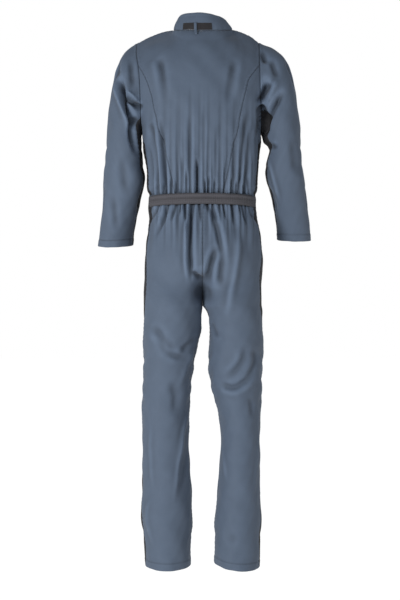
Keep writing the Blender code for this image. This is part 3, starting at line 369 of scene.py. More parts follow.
FRONT_CREASES = table(
    CREASE_COLUMNS,
    (1, -120, -90, -104, -150, -92, -240, 12, 3, 0.3, 0.3, 0.5),
    (1, 112, -84, 98, -160, 90, -250, 12, 3, -0.3, 0.3, 0.5),
    (1, -132, -255, -112, -330, -96, -425, 9, 3.5, 0, 0.4, 0.3),
    (1, 136, -262, 116, -340, 104, -430, 9, 3.5, 0, 0.4, 0.3),
    (1, -60, -300, -52, -370, -56, -460, 9, 2.2, 0, 0.4, 0.2),
    (1, 66, -310, 58, -380, 60, -460, 9, 2.2, 0, 0.4, 0.2),
    (1, -150, -405, -118, -432, -70, -448, 8, 3.5, 0, 0.2, 0.5),
    (1, 148, -412, 110, -436, 64, -450, 8, 3.5, 0, 0.2, 0.5),
    (1, -84, -478, -92, -520, -108, -575, 8, 3.2, 0, 0.1, 0.5),
    (1, 80, -478, 90, -525, 112, -580, 8, 3.2, 0, 0.1, 0.5),
    (1, -16, -655, -52, -690, -102, -705, 10, 5.5, 0.3, 0.2, 0.5),
    (1, 16, -660, 56, -696, 108, -700, 10, 5.5, -0.3, 0.2, 0.5),
    (1, -22, -700, -50, -745, -98, -770, 9, 4, 0, 0.2, 0.5),
    (1, 24, -705, 48, -750, 92, -782, 9, 4, 0, 0.2, 0.5),
    (1, 0, -680, 0, -715, 0, -760, 16, 6, 0, 0.5, 0),
    (1, -138, -905, -102, -925, -54, -915, 10, 5, 0.3, 0.3, 0.4),
    (1, 140, -925, 106, -942, 60, -925, 10, 5, -0.3, 0.3, 0.4),
    (1, -134, -985, -100, -975, -60, -950, 10, 4.5, 0, 0.3, 0.4),
    (1, 138, -1000, 104, -985, 66, -965, 10, 4.5, 0, 0.3, 0.4),
    (1, -118, -1060, -112, -1160, -108, -1290, 10, 3, 0, 0.4, 0.4),
    (1, 96, -1050, 104, -1150, 108, -1300, 10, 3, 0, 0.4, 0.4),
    (1, -70, -1340, -92, -1372, -128, -1385, 9, 3, 0, 0.4, 0.4),
    (1, 66, -1350, 90, -1384, 124, -1390, 9, 3, 0, 0.4, 0.4),
    (2, -224, -125, -204, -185, -184, -250, 9, 8, 0.3, 0.3, 0.3),
    (0, -208, -165, -190, -188, -166, -205, 7, 6, 0, 0.3, 0.2),
    (2, -200, -290, -225, -310, -250, -318, 9, 5, 0.3, 0.2, 0.5),
    (2, -182, -345, -212, -352, -248, -350, 9, 5.5, 0, 0.2, 0.5),
    (2, -190, -385, -218, -392, -250, -402, 9, 4, 0, 0.2, 0.5),
    (2, 226, -130, 204, -185, 180, -245, 9, 8, -0.3, 0.3, 0.3),
    (0, 205, -168, 186, -190, 160, -205, 7, 6, 0, 0.3, 0.2),
    (2, 192, -285, 222, -300, 252, -305, 9, 5, -0.3, 0.2, 0.5),
    (2, 184, -335, 216, -345, 256, -342, 9, 5.5, 0, 0.2, 0.5),
    (2, 198, -380, 230, -388, 262, -400, 9, 4, 0, 0.2, 0.5),
)
# On the sides x stands for depth, from back (-) to front (+), the same on both sides of the suit.
SIDE_CREASES = table(
    CREASE_COLUMNS,
    (1, -40, -262, -20, -330, -26, -425, 9, 3, 0, 0.3, 0.2),
    (1, 50, -265, 34, -340, 30, -430, 9, 3, 0, 0.3, 0.2),
    (1, -60, -428, -10, -440, 50, -436, 8, 1.5, 0, 0.3, 0.3),
    (1, -60, -492, -20, -520, 20, -575, 9, 1.5, 0, 0.2, 0.5),
    (1, 60, -490, 40, -540, 36, -600, 9, 2.5, 0, 0.2, 0.5),
    (1, -50, -700, -20, -760, 10, -840, 14, 1.5, 0, 0.4, 0.4),
    (1, -60, -850, -16, -894, 40, -910, 12, 1.2, 0.3, 0.3, 0.4),
    (1, -56, -915, -10, -950, 44, -965, 12, 1.2, 0, 0.3, 0.4),
    (1, -50, -1010, -14, -1000, 30, -975, 12, 0.9, 0, 0.3, 0.4),
    (1, 10, -1080, -6, -1180, -10, -1300, 12, 3, 0, 0.4, 0.4),
    (1, -50, -1335, -14, -1372, 36, -1390, 12, 0.9, 0, 0.4, 0.4),
    (2, -30, -60, -24, -110, -30, -160, 10, 3, 0, 0.4, 0.4),
    (2, 34, -70, 26, -130, 30, -190, 10, 3, 0, 0.4, 0.4),
    (2, -34, -290, 0, -312, 40, -320, 12, 1, 0, 0.3, 0.4),
    (2, -20, -340, 16, -360, 60, -370, 12, 1, 0, 0.3, 0.4),
    (2, 0, -410, 20, -450, 40, -500, 12, 2.5, 0, 0.4, 0.4),
)


# ---- the form


def unit_rows(vectors):
    return vectors / np.maximum(np.linalg.norm(vectors, axis=-1, keepdims=True), 1e-12)


def pick(row, name, side):
    return getattr(row, f"{name}_left" if side == LEFT else f"{name}_right")


def eased(t):
    t = np.clip(t, 0.0, 1.0)
    return t * t * (3 - 2 * t)


def bell(away, width):
    """A bump of height 1 that dies out over this width."""
    return np.exp(-((away / width) ** 2))


def stacked(x, y, z):
    return np.stack(np.broadcast_arrays(x, y, z), axis=-1).astype(float)


def arc_row(side, row, across):
    """Rows of a panel: each a turn of an oval from the centre line to the armhole or side."""
    turn = np.radians(row.turn)
    angle = across * turn
    fullness = 1 + row.square * np.sin(2 * angle) ** 2
    bow = (1 - np.cos(angle)) / (1 - np.cos(turn))
    half = row.left if side == LEFT else row.right
    x = side * half * np.sin(angle) / np.sin(turn) * fullness
    y = row.y_edge + (row.y_mid - row.y_edge) * (1 - bow) * fullness
    z = -row.down - row.mid_drop - (row.edge_drop - row.mid_drop) * bow
    return stacked(x, y, z)


def top_edge(side, row, across):
    """The neckline as far as the side of the neck, then the shoulder seam."""
    neck_side = np.array([side * NECK_HALF, 0.0, NECK_SIDE_Z])
    angle = np.clip(across / NECK_SHARE, None, 1.0) * math.pi / 2
    z = -row.mid_drop + (NECK_SIDE_Z + row.mid_drop) * (1 - np.cos(angle))
    neck = stacked(side * NECK_HALF * np.sin(angle), row.y_mid * np.cos(angle), z)
    t = np.clip((across - NECK_SHARE) / (1 - NECK_SHARE), 0.0, None)[..., None]
    shoulder = neck_side + (arc_row(side, row, np.ones_like(across)) - neck_side) * t
    shoulder[..., 2] += (SHOULDER_RISE * t * (1 - t))[..., 0]
    return np.where((across < NECK_SHARE)[..., None], neck, shoulder)


def trunk(side, face, down, across):
    rows = BACK_ROWS if face == BACK else FRONT_ROWS
    point = arc_row(side, read(rows, down), across)
    first = read(rows, np.zeros_like(down))
    fade = (np.clip(1 - down / SHOULDER_REACH, 0.0, None) ** 2)[..., None]
    blend = SHOULDER_BLEND * eased(down / SHOULDER_BLEND_AT)
    nearby = [across + step * blend for step in (-1.0, -0.5, 0.0, 0.5, 1.0)]
    rises = [top_edge(side, first, near) - arc_row(side, first, near) for near in nearby]
    point = point + fade * sum(rises) / len(rises)
    if side == LEFT:
        point[..., 2] -= LEFT_SHOULDER_DROP * across**2 * np.clip(1 - down / ARMPIT, 0.0, None)
    return point


def leg(side, face, down, across):
    row = read(LEG_TABLE, down)
    angle = across * math.pi
    out = -pick(row, "half", side) * np.cos(angle)
    z = -down + pick(row, "tilt", side) * np.cos(angle)
    return stacked(side * (pick(row, "out", side) + out), row.y_mid + face * row.deep * np.sin(angle), z)


def parted(down, across):
    """The share in which the trunk has become a leg, which it does later in the middle, at the fork."""
    middle = np.clip(np.cos(across * math.pi / 2), 0.0, None) ** 3
    return eased((down - HIP) / (CROTCH - HIP)) ** (1 + FORK_LATE * middle)


def half_body(side, face, down, across):
    share = parted(down, across)[..., None]
    return (1 - share) * trunk(side, face, down, across) + share * leg(side, face, down, across)


def body(side, around, down):
    """The suit's outside: around is 0 at the middle of the back, 1 at the side and 2 in front."""
    around, down = np.broadcast_arrays(np.asarray(around, float), np.asarray(down, float))
    back = half_body(side, BACK, down, np.minimum(around, 1.0))
    front = half_body(side, FRONT, down, np.minimum(2 - around, 1.0))
    return np.where((around <= 1)[..., None], back, front)


def armhole(side, angle):
    """The armhole's edge, from the shoulder (0) down its back to the armpit (pi) and up its front."""
    angle = np.asarray(angle, float)
    down = ARMPIT * (1 - np.cos(angle)) / 2
    on_back = np.mod(angle, 2 * math.pi) <= math.pi
    return body(side, np.where(on_back, 1.0, 1.0 + 1e-9), down)


def sleeve_skin(side, angle, along):
    angle, along = np.broadcast_arrays(np.asarray(angle, float), np.asarray(along, float))
    fade = (1 - eased(along / SLEEVE_BLEND))[..., None]
    edge = armhole(side, angle) - sleeve(side, angle, np.zeros_like(along))
    return sleeve(side, angle, along) + fade * edge


def sleeve(side, angle, along):
    row = read(SLEEVE_TABLE, along)
    lift = row.lift_right if side == RIGHT else 0.0
    outer = stacked(side * pick(row, "out", side), row.y_mid, row.out_z + lift)
    inner = stacked(side * pick(row, "in", side), row.y_mid, row.in_z + lift)
    depth = stacked(0.0, -row.deep, -row.lean)
    cosine, sine = np.cos(angle)[..., None], np.sin(angle)[..., None]
    return (outer + inner) / 2 + cosine * (outer - inner) / 2 + sine * depth


def half_collar(side, angle, up):
    share = np.abs(angle) / (math.pi / 2)
    zero, reach = np.zeros_like(angle), NECK_SHARE * (1 - 1e-9)
    behind = top_edge(side, read(BACK_ROWS, zero), np.minimum(share, 1.0) * reach)
    before = top_edge(side, read(FRONT_ROWS, zero), np.minimum(2 - share, 1.0) * reach)
    base = np.where((share <= 1)[..., None], behind, before)
    front = (1 - np.cos(angle)) / 2
    top_x = base[..., 0] * COLLAR_TOP_HALF / NECK_HALF + COLLAR_SHIFT * (1 - front)
    top_z = COLLAR_TOP - COLLAR_FRONT_DROP * front * front - COLLAR_TILT * base[..., 0]
    top = stacked(top_x, base[..., 1] * COLLAR_DEPTH_SHARE, top_z)
    out = unit_rows(base * np.array([1.0, 1.0, 0.0]))
    return base + (top - base) * up[..., None] + out * (COLLAR_SWELL * np.sin(math.pi * up))[..., None]


def collar(angle, up):
    """The collar: angle runs round the neck from the middle of the back, up from its seam (0) to its top."""
    angle, up = np.broadcast_arrays(np.asarray(angle, float), np.asarray(up, float))
    left, right = half_collar(LEFT, angle, up), half_collar(RIGHT, angle, up)
    return np.where((angle < 0)[..., None], left, right)


def slope(surface, u, v, turned):
    """The form's outward normals."""
    du = surface(u + STEP, v) - surface(u - STEP, v)
    dv = surface(u, v + STEP) - surface(u, v - STEP)
    return unit_rows(np.cross(du, dv)) * turned


def share_at(side, down, x):
    """The share of a front's row that lies this far from the centre line."""
    share = np.full_like(down, 0.05)
    for _ in range(4):
        share = share * x / np.abs(body(side, 2 - share, down)[..., 0])
    return share


def zip_share(side, down):
    """Where a front starts: beside the zip, or below it on the centre line."""
    open_half = ZIP_HALF * (1 - eased((down - ZIP_FOOT) / ZIP_CLOSE))
    return np.where(open_half > 0, share_at(side, down, np.maximum(open_half, 1e-6)), 0.0)


# ---- relief: creases, soft unevenness, seams and hems, as heights over the form

CREASE_STEPS = 8
CREASE_DEPTH = 2.3
CREASE_REACH = 3.2  # half-widths
BANK_AT = 1.6
SEAM_DIP = 0.0009
SEAM_HALF = 0.0022
PUCKER = 0.00035
PUCKER_PITCH = 0.0125
PUCKER_REACH = 0.009
LAP = 0.0006  # how far the folded side of a seam stands up
LAP_WIDE = 0.0085
LAP_EDGE = 0.0015  # over this the step at a lap's or hem's edge rounds off
HEM_DEEP = 0.020
HEM_LIFT = 0.0007
HEM_DIP = 0.0005  # along the line where the turned-up cloth ends
HEM_WAVE = 0.0005
HEM_WAVE_PITCH = 0.034
HEM_WAVE_REACH = 0.018
FINE_GATHER = 0.0010
FINE_GATHER_PITCH = 0.0095
FINE_GATHER_REACH = 0.016
# Waves of the whole cloth: their lengths along X, Y and Z, where in its turn each starts, and its height.
SWELLS = table(
    "phase  x_mm  y_mm  z_mm  height_mm",
    (0.3, 118, 160, 143, 0.9),
    (1.9, -74, 92, 101, 0.6),
    (4.1, 55, -83, 71, 0.35),
    (5.2, 39, 47, -58, 0.22),
)


# Folds at the elastic: their spacing, how unevenly they stand, their depth above and below it, and how late
# they deepen on their way down to it.
FOLDS_TOP = 0.150
FOLDS_BELOW = 0.150
ELASTIC_FOLDS = table(
    "phase length_mm wander above_mm below_mm early",
    (0.4, 31.0, 1.5, 6.5, 5.0, 1.1),
    (2.3, 19.0, 1.2, 4.0, 3.2, 1.8),
    (4.4, 11.5, 1.0, 1.6, 1.5, 5.0),
)


def rows_of(made):
    columns, _ = made
    return [SimpleNamespace(**dict(zip(columns, values))) for values in zip(*columns.values())]


def crease_lift(across, height, part, creases):
    """How far a table's creases lift the cloth at places given in millimetres."""
    lift = np.zeros(across.shape)
    for row in rows_of(creases):
        if row.part not in (0, part):
            continue
        ends = np.array([[row.x_from, row.z_from], [row.x_to, row.z_to]])
        bend = 2 * np.array([row.x_mid, row.z_mid]) - ends.mean(axis=0)
        t = np.linspace(0, 1, CREASE_STEPS + 1)[:, None]
        line = (1 - t) ** 2 * ends[0] + 2 * t * (1 - t) * bend + t**2 * ends[1]
        reach = CREASE_REACH * row.half
        low, high = line.min(axis=0) - reach, line.max(axis=0) + reach
        near = (across > low[0]) & (across < high[0]) & (height > low[1]) & (height < high[1])
        if not near.any():
            continue
        spots = np.stack([across[near], height[near]], axis=-1)
        best = np.full(len(spots), np.inf)
        along, away = np.zeros(len(spots)), np.zeros(len(spots))
        for k in range(CREASE_STEPS):
            run = line[k + 1] - line[k]
            s = np.clip((spots - line[k]) @ run / (run @ run), 0, 1)
            off = spots - line[k] - s[:, None] * run
            far = np.linalg.norm(off, axis=1)
            better = far < best
            best[better] = far[better]
            turn = np.sign(run[1] * off[:, 0] - run[0] * off[:, 1])
            along[better] = (k + s[better]) / CREASE_STEPS
            away[better] = (far * turn)[better] / row.half
        fade = eased(along / max(row.start, 0.01)) * eased((1 - along) / max(row.end, 0.01))
        trough = bell(away, 1.0)
        bank = abs(row.lean) * bell(away - BANK_AT * np.sign(row.lean), 1.0)
        lift[near] -= row.depth * fade * (trough - bank)
    return lift * MM * CREASE_DEPTH


def elastic_folds(points):
    """Upright folds drawn up by the elastic: narrow troughs between broad ridges, dying out away from it."""
    x, z = points[..., 0], points[..., 2]
    above = np.clip((FOLDS_TOP + z) / (FOLDS_TOP - BAND_TOP), 0.0, 1.0) * (z > -BAND_TOP)
    below = np.clip(1 - (-BAND_FOOT - z) / FOLDS_BELOW, 0.0, 1.0) * (z < -BAND_FOOT)
    lift = np.zeros(x.shape)
    for row in rows_of(ELASTIC_FOLDS):
        wander = row.wander * np.sin(x / 0.027 + row.phase) + 0.5 * np.sin(z / 0.09 + 2.1 * row.phase)
        wave = np.sin(2 * math.pi * x / (row.length_mm * MM) + wander + row.phase)
        trough = ((1 - wave) / 2) ** 2.4
        lift -= trough * MM * (row.above_mm * above**row.early + row.below_mm * below**1.5)
    return lift


def swells(points):
    lift = np.zeros(points.shape[:-1])
    for row in rows_of(SWELLS):
        turns = points @ (1 / (MM * np.array([row.x_mm, row.y_mm, row.z_mm])))
        wander = 1.3 * np.sin(points[..., 2] / 0.110 + 2 * row.phase)
        wander += 1.1 * np.sin(points[..., 0] / 0.067 + row.phase)
        lift += row.height_mm * MM * np.sin(2 * math.pi * turns + wander + row.phase)
    return lift


def creased(points, normals, part):
    """The creases of the face that each point looks to."""
    x, y, z = (points[..., i] / MM for i in range(3))
    back = eased((-normals[..., 1] - 0.10) / 0.45)
    front = eased((normals[..., 1] - 0.10) / 0.45)
    side = eased((np.abs(normals[..., 0]) - 0.55) / 0.35)
    lift = back * crease_lift(x, z, part, BACK_CREASES)
    if part == 1:
        lift += back * elastic_folds(points)
    lift += front * crease_lift(x, z, part, FRONT_CREASES)
    lift += side * crease_lift(y, z, part, SIDE_CREASES)
    return lift


def measured(points):
    """How far each point lies from its grid's four edges, along the cloth."""
    across = np.linalg.norm(np.diff(points, axis=1), axis=-1).cumsum(axis=1)
    across = np.pad(across, ((0, 0), (1, 0)))
    down = np.linalg.norm(np.diff(points, axis=0), axis=-1).cumsum(axis=0)
    down = np.pad(down, ((1, 0), (0, 0)))
    return {"start": across, "end": across[:, -1:] - across, "top": down, "foot": down[-1:] - down}


def run_along(points, edge):
    """A coordinate along an edge that both pieces at a seam share."""
    return points[..., 2] if edge in ("start", "end") else points[..., 0]


def seam_relief(points, gaps, edge, lapped):
    away, run = gaps[edge], run_along(points, edge)
    pucker = PUCKER * np.sin(2 * math.pi * run / PUCKER_PITCH + 1.7 * np.sin(run / 0.021))
    lift = -SEAM_DIP * bell(away, SEAM_HALF) + pucker * bell(away, PUCKER_REACH)
    if lapped:
        lift = lift + LAP * eased((LAP_WIDE - away) / LAP_EDGE) * eased(away / 0.002)
    return lift


def hem_relief(points, gaps, edge):
    away, run = gaps[edge], run_along(points, edge)
    wave = HEM_WAVE * np.sin(2 * math.pi * run / HEM_WAVE_PITCH + 2.0 * np.sin(run / 0.05))
    lift = HEM_LIFT * eased((HEM_DEEP - away) / LAP_EDGE) - HEM_DIP * bell(away - HEM_DEEP, 0.0014)
    return lift + wave * bell(away, HEM_WAVE_REACH)


def fine_gathers(points, gaps, edge):
    x = points[..., 0]
    wave = np.sin(2 * math.pi * x / FINE_GATHER_PITCH + 1.4 * np.sin(x / 0.013) + 0.9 * np.sin(x / 0.0071))
    return FINE_GATHER * wave * bell(gaps[edge], FINE_GATHER_REACH)


def lowest_around(heights):
    """The lowest height among each grid point and its neighbours two steps off."""
    padded = np.pad(heights, 2, mode="edge")
    rows, columns = heights.shape
    parts = [padded[i : i + rows, j : j + columns] for i in range(5) for j in range(5)]
    return np.min(parts, axis=0)


def blurred(heights, reach=5):
    """Each height's mean with its neighbours."""
    for axis in (0, 1):
        padded = np.pad(heights, [(reach + 1, reach) if k == axis else (0, 0) for k in (0, 1)], mode="edge")
        total = np.cumsum(padded, axis=axis)
        count = heights.shape[axis]
        ahead = np.take(total, np.arange(count) + 2 * reach + 1, axis=axis)
        behind = np.take(total, np.arange(count), axis=axis)
        heights = (ahead - behind) / (2 * reach + 1)
    return heights


# ---- shells

RIM_ROUND = 0.35  # of the thickness: how far a cut edge bulges


def rim(rows, columns):
    """The places round a grid's edge, in order."""
    top = [(0, j) for j in range(columns - 1)]
    right = [(i, columns - 1) for i in range(rows - 1)]
    foot = [(rows - 1, j) for j in range(columns - 1, 0, -1)]
    left = [(i, 0) for i in range(rows - 1, 0, -1)]
    return top + right + foot + left


def shell(name, outer, inner, finish):
    """A closed sheet with a soft rim. The inner skin has every second row and column of the outer one."""
    rows, columns = outer.shape[:2]
    few_rows, few_columns = inner.shape[:2]
    around = rim(rows, columns)
    inside = rim(few_rows, few_columns)
    rim_out = np.array([outer[i, j] for i, j in around])
    rim_in = np.array([inner[i // 2, j // 2] if i % 2 == 0 and j % 2 == 0 else (0, 0, 0) for i, j in around])
    odd = np.arange(1, len(around), 2)
    rim_in[odd] = (rim_in[odd - 1] + rim_in[(odd + 1) % len(around)]) / 2
    beyond = []
    for i, j in around:
        k, m = min(max(i, 1), rows - 2), min(max(j, 1), columns - 2)
        beyond.append(outer[i, j] - outer[k, m])
    middle = (rim_out + rim_in) / 2
    thick = np.linalg.norm(rim_out - rim_in, axis=1, keepdims=True)
    middle = middle + unit_rows(np.array(beyond)) * thick * RIM_ROUND
    count = rows * columns
    at_middle = count + few_rows * few_columns
    points = np.concatenate([outer.reshape(-1, 3), inner.reshape(-1, 3), middle])
    number = np.arange(count).reshape(rows, columns)
    few = count + np.arange(few_rows * few_columns).reshape(few_rows, few_columns)
    faces = []
    for grid, way in ((number, 1), (few, -1)):
        quads = [grid[:-1, :-1], grid[:-1, 1:], grid[1:, 1:], grid[1:, :-1]][::way]
        faces += np.stack(quads, axis=-1).reshape(-1, 4).tolist()
    total = len(around)
    for k in range(total):
        a, b = number[around[k]], number[around[(k + 1) % total]]
        faces.append([int(b), int(a), at_middle + k, at_middle + (k + 1) % total])
    for k in range(0, total, 2):
        first, second = few[inside[k // 2]], few[inside[(k // 2 + 1) % len(inside)]]
        mid = [at_middle + (k + s) % total for s in (0, 1, 2)]
        faces.append([mid[2], mid[1], mid[0], int(first), int(second)])
    return mesh_object(name, points, faces, finish), around


def mesh_object(name, points, faces, finish):
    mesh = bpy.data.meshes.new(name)
    mesh.from_pydata(points, [], faces)
    corners = points[np.array([face[:3] for face in faces])]
    volume = np.einsum("ij,ij->i", corners[:, 0], np.cross(corners[:, 1], corners[:, 2])).sum()
    if volume < 0:
        mesh.flip_normals()
    mesh.shade_smooth()
    mesh.set_sharp_from_angle(angle=math.radians(60))
    mesh.materials.append(finish)
    made = bpy.data.objects.new(name, mesh)
    bpy.context.scene.collection.objects.link(made)
    return made


def put_attribute(made, name, kind, values):
    attribute = made.data.attributes.new(name, kind, "POINT")
    field = "vector" if kind == "FLOAT_VECTOR" else "value"
    attribute.data.foreach_set(field, np.ascontiguousarray(values, np.float32).ravel())


def over_shell(grid, around):
    """The values on an outer skin's grid, repeated for the inner skin and the rim."""
    flat = grid.reshape(-1, *grid.shape[2:])
    few = grid[::2, ::2].reshape(-1, *grid.shape[2:])
    return np.concatenate([flat, few, np.array([grid[spot] for spot in around])])


def near_armhole(side, points):
    """How far points lie from an armhole's seam, and the way that both pieces' cloth faces there."""
    angles = np.linspace(0, 2 * math.pi, 97)
    edge = armhole(side, angles)
    flat = points.reshape(-1, 3)
    away = np.full(len(flat), np.inf)
    nearest = np.zeros(len(flat), int)
    for i, spot in enumerate(edge):
        far = np.linalg.norm(flat - spot, axis=1)
        nearest[far < away] = i
        away = np.minimum(away, far)
    middle = (edge[0, 2] - ARMPIT) / 2
    out = unit_rows(edge[nearest] * np.array([0, 1, 1]) - np.array([0, 0, middle]))
    return away.reshape(points.shape[:-1]), out.reshape(points.shape)


FOLD_PAINT_FULL = 0.0020  # a fold this much lower or higher than the cloth beside it gets the full painted shade or the full painted highlight
FOLD_PAINT_ON_LEGS = 0.55  # the share of that painted shade and highlight which the legs' folds show
FORK_CALM = 0.020  # this close to the fork the cloth keeps to the form, so that the legs' four pieces meet
# Widths of the painted shade along seams and along the line where a hem's turned-up cloth ends.
SEAM_SHADE = 0.0019
HEM_SHADE = 0.0013
ARMHOLE_REACH = 0.022
CENTRE_REACH = 0.022
PANELS = {}


def towards_armhole(normals, away, out):
    """Normals that turn, near an armhole, to the way that both pieces' cloth faces there."""
    share = (1 - eased(away / ARMHOLE_REACH))[..., None]
    return unit_rows(normals * (1 - share) + out * share)


def panel(name, points, normals, finish, part=1, side=None, seams=(), laps=(), hems=(), gathers=(),
          thick=WALL, extra=None, dark=None):
    """A piece of cloth on a grid of the form, with its creases, seams and hems."""
    if side is not None:
        normals = towards_armhole(normals, *near_armhole(side, points))
    gaps = measured(points)
    folds = creased(points, normals, part)
    lift = folds + swells(points)
    for edge in seams:
        lift = lift + seam_relief(points, gaps, edge, edge in laps)
    for edge in hems:
        lift = lift + hem_relief(points, gaps, edge)
    for edge in gathers:
        lift = lift + fine_gathers(points, gaps, edge)
    if extra is not None:
        lift = lift + extra(points, gaps)
    lift = lift * (1 - bell(points[..., 0], FORK_CALM) * bell(points[..., 2] + CROTCH, FORK_CALM))
    outer = points + normals * lift[..., None]
    low = lowest_around(lift)[::2, ::2, None]
    inner = points[::2, ::2] + normals[::2, ::2] * (low - thick)
    made, around = shell(name, outer, inner, finish)
    # Painted shade along seams, along a hem's stitch line, and a piece's own painted shade (dark), kept in the
    # seam attribute.
    seam_painted_shade = np.zeros(lift.shape)
    for edge in seams:
        seam_painted_shade = np.maximum(seam_painted_shade, bell(gaps[edge], SEAM_SHADE))
    for edge in hems:
        seam_painted_shade = np.maximum(seam_painted_shade, 0.8 * bell(gaps[edge] - HEM_DEEP, HEM_SHADE))
    if dark is not None:
        seam_painted_shade = np.maximum(seam_painted_shade, dark(points, gaps))
    weave = np.stack([gaps["start"], gaps["top"], np.zeros(lift.shape)], axis=-1)
    put_attribute(made, "weave", "FLOAT_VECTOR", over_shell(weave, around))
    put_attribute(made, "seam", "FLOAT", over_shell(seam_painted_shade, around))
    # Painted shade in crease troughs and painted highlight on crease ridges, weaker on the legs, kept as a
    # point attribute.
    shown = FOLD_PAINT_ON_LEGS + (1 - FOLD_PAINT_ON_LEGS) * eased((points[..., 2] + HIP + 0.25) / 0.15)
    fold_painted_light = np.clip((folds - blurred(folds)) / FOLD_PAINT_FULL, -1.0, 1.0) * shown
    put_attribute(made, "fold_painted_light", "FLOAT", over_shell(fold_painted_light, around))
    PANELS[name] = SimpleNamespace(made=made, outer=outer, normals=normals, gaps=gaps)
    return made


def odd(length, spacing):
    """An odd number of points for a rough length, so that every second one reaches both ends."""
    return 2 * max(round(length / spacing / 2), 2) + 1


def sampled(surface, u, v, turned):
    return surface(u, v), slope(surface, u, v, turned)


def on_body(side, around, down):
    return sampled(lambda u, v: body(side, u, v), around, down, BODY_TURN * side)


def centred(sheet, down):
    """A sheet whose normals don't slant across near the centre seam, where both sides' cloth meets."""
    points, normals = sheet
    share = (1 - eased(np.abs(points[..., 0]) / CENTRE_REACH)) * np.clip((CROTCH - down) / 0.01, 0.0, 1.0)
    return points, unit_rows(normals * (1 - share[..., None] * np.array([1.0, 0.0, 0.0])))


def halves_joined(build):
    """Left and right halves of a piece that crosses the middle of the back, with one column between them."""
    both = []
    for side in (LEFT, RIGHT):
        points, normals = build(side)
        normals[:, 0] = unit_rows(normals[:, 0] * np.array([0.0, 1.0, 1.0]))
        both.append((points, normals))
    return [np.concatenate([both[0][i][:, :0:-1], both[1][i]], axis=1) for i in (0, 1)]


# ---- pieces of cloth

ROW_PITCH = 0.0025
COLUMN_PITCH = 0.0025


def back_seam_share(side, down):
    row = read(BACK_SEAMS, down)
    return row.left if side == LEFT else row.right


def back_centre(finish):
    rows, columns = odd(BAND_TOP, ROW_PITCH), odd(0.19, COLUMN_PITCH)

    def build(side):
        down = np.linspace(0, BAND_TOP, rows)[:, None] * np.ones(columns)
        around = np.linspace(0, 1, columns) * back_seam_share(side, down)
        return on_body(side, around, down)

    points, normals = halves_joined(build)
    (left_away, left_out), (right_away, right_out) = (near_armhole(side, points) for side in (LEFT, RIGHT))
    out = np.where((left_away < right_away)[..., None], left_out, right_out)
    normals = towards_armhole(normals, np.minimum(left_away, right_away), out)
    return panel("cloth_back_centre", points, normals, finish, seams=("top", "start", "end", "foot"),
                 gathers=("foot",), laps=("start", "end"))


def back_side(side, name, finish):
    rows, columns = odd(0.37, ROW_PITCH), odd(0.16, COLUMN_PITCH)
    t, s = np.meshgrid(np.linspace(0, 1, rows), np.linspace(0, 1, columns), indexing="ij")
    angle = SEAM_START_ANGLE + (math.pi - SEAM_START_ANGLE) * s
    tops = np.stack([np.ones_like(s), ARMPIT * (1 - np.cos(angle)) / 2], axis=-1)
    feet_start, feet_end = back_seam_share(side, BAND_TOP), read(SIDE_STRIPS, BAND_TOP).back
    feet = np.stack([feet_start + (feet_end - feet_start) * s, np.full_like(s, BAND_TOP)], axis=-1)
    seam_down, side_down = SEAM_START + (BAND_TOP - SEAM_START) * t, ARMPIT + (BAND_TOP - ARMPIT) * t
    start = np.stack([back_seam_share(side, seam_down), seam_down], axis=-1)
    end = np.stack([read(SIDE_STRIPS, side_down).back, side_down], axis=-1)
    t, s = t[..., None], s[..., None]
    corners_top = (1 - s) * tops[:1, :1] + s * tops[:1, -1:]
    corners_foot = (1 - s) * feet[:1, :1] + s * feet[:1, -1:]
    place = (1 - t) * tops + t * feet + (1 - s) * start + s * end - (1 - t) * corners_top - t * corners_foot
    points, normals = on_body(side, np.minimum(place[..., 0], 1.0), place[..., 1])
    return panel(name, points, normals, finish, side=side, seams=("top", "start", "end", "foot"),
                 gathers=("foot",))


def at_middle(side, down):
    return np.zeros_like(down)


def at_zip(side, down):
    return 2 - zip_share(side, down)


def strip_back(side, down):
    return read(SIDE_STRIPS, down).back


def strip_front(side, down):
    return read(SIDE_STRIPS, down).front


def upright(side, top, foot, start, end, wide, coarse):
    """A sheet from one level to another, between two edges that each give a share of the way round."""
    rows, columns = odd(foot - top, ROW_PITCH * coarse), odd(wide, COLUMN_PITCH)
    down = np.linspace(top, foot, rows)[:, None] * np.ones(columns)
    first = start(side, down)
    around = first + (end(side, down) - first) * np.linspace(0, 1, columns)
    return on_body(side, around, down), down


def front(side, name, finish):
    sheet, _ = upright(side, 0.0, BAND_FOOT, at_zip, strip_front, 0.19, 1.0)
    return panel(name, *sheet, finish, side=side, seams=("top", "end", "foot"))


def front_leg(side, name, finish):
    sheet = centred(*upright(side, BAND_FOOT, HEM, at_zip, strip_front, 0.21, 1.15))
    return panel(name, *sheet, finish, seams=("top", "start", "end"), laps=("end",), hems=("foot",))


def back_leg(side, name, finish):
    sheet = centred(*upright(side, BAND_FOOT, HEM, at_middle, strip_back, 0.24, 1.1))
    return panel(name, *sheet, finish, seams=("top", "start", "end"), laps=("start",), hems=("foot",),
                 gathers=("top",))


def side_strip(side, name, finish):
    sheet, _ = upright(side, STRIP_TOP, HEM, strip_back, strip_front, 0.045, 1.1)
    return panel(name, *sheet, finish, seams=("top", "start", "end"), hems=("foot",))


def sleeve_piece(side, name, finish, under=False):
    """The sleeve from one edge of the black strip round to the other, or the strip itself."""
    rows, columns = odd(SLEEVE_LENGTH, ROW_PITCH), odd(0.075 if under else 0.35, COLUMN_PITCH)
    along = np.linspace(0, SLEEVE_LENGTH, rows)[:, None] * np.ones(columns)
    row = read(UNDER_STRIPS, along)
    back, ahead = math.pi * pick(row, "back", side), math.pi * pick(row, "front", side)
    low, high = (back, ahead) if under else (ahead - 2 * math.pi, back)
    angle = low + (high - low) * np.linspace(0, 1, columns)
    points, normals = sampled(lambda u, v: sleeve_skin(side, u, v), angle, along, side)
    return panel(name, points, normals, finish, part=2, side=side, seams=("top", "start", "end"),
                 laps=("top",), hems=("foot",))


def under_sleeve(side, name, finish):
    return sleeve_piece(side, name, finish, under=True)


BAND_PROUD = 0.0014
BAND_CHANNELS = 3


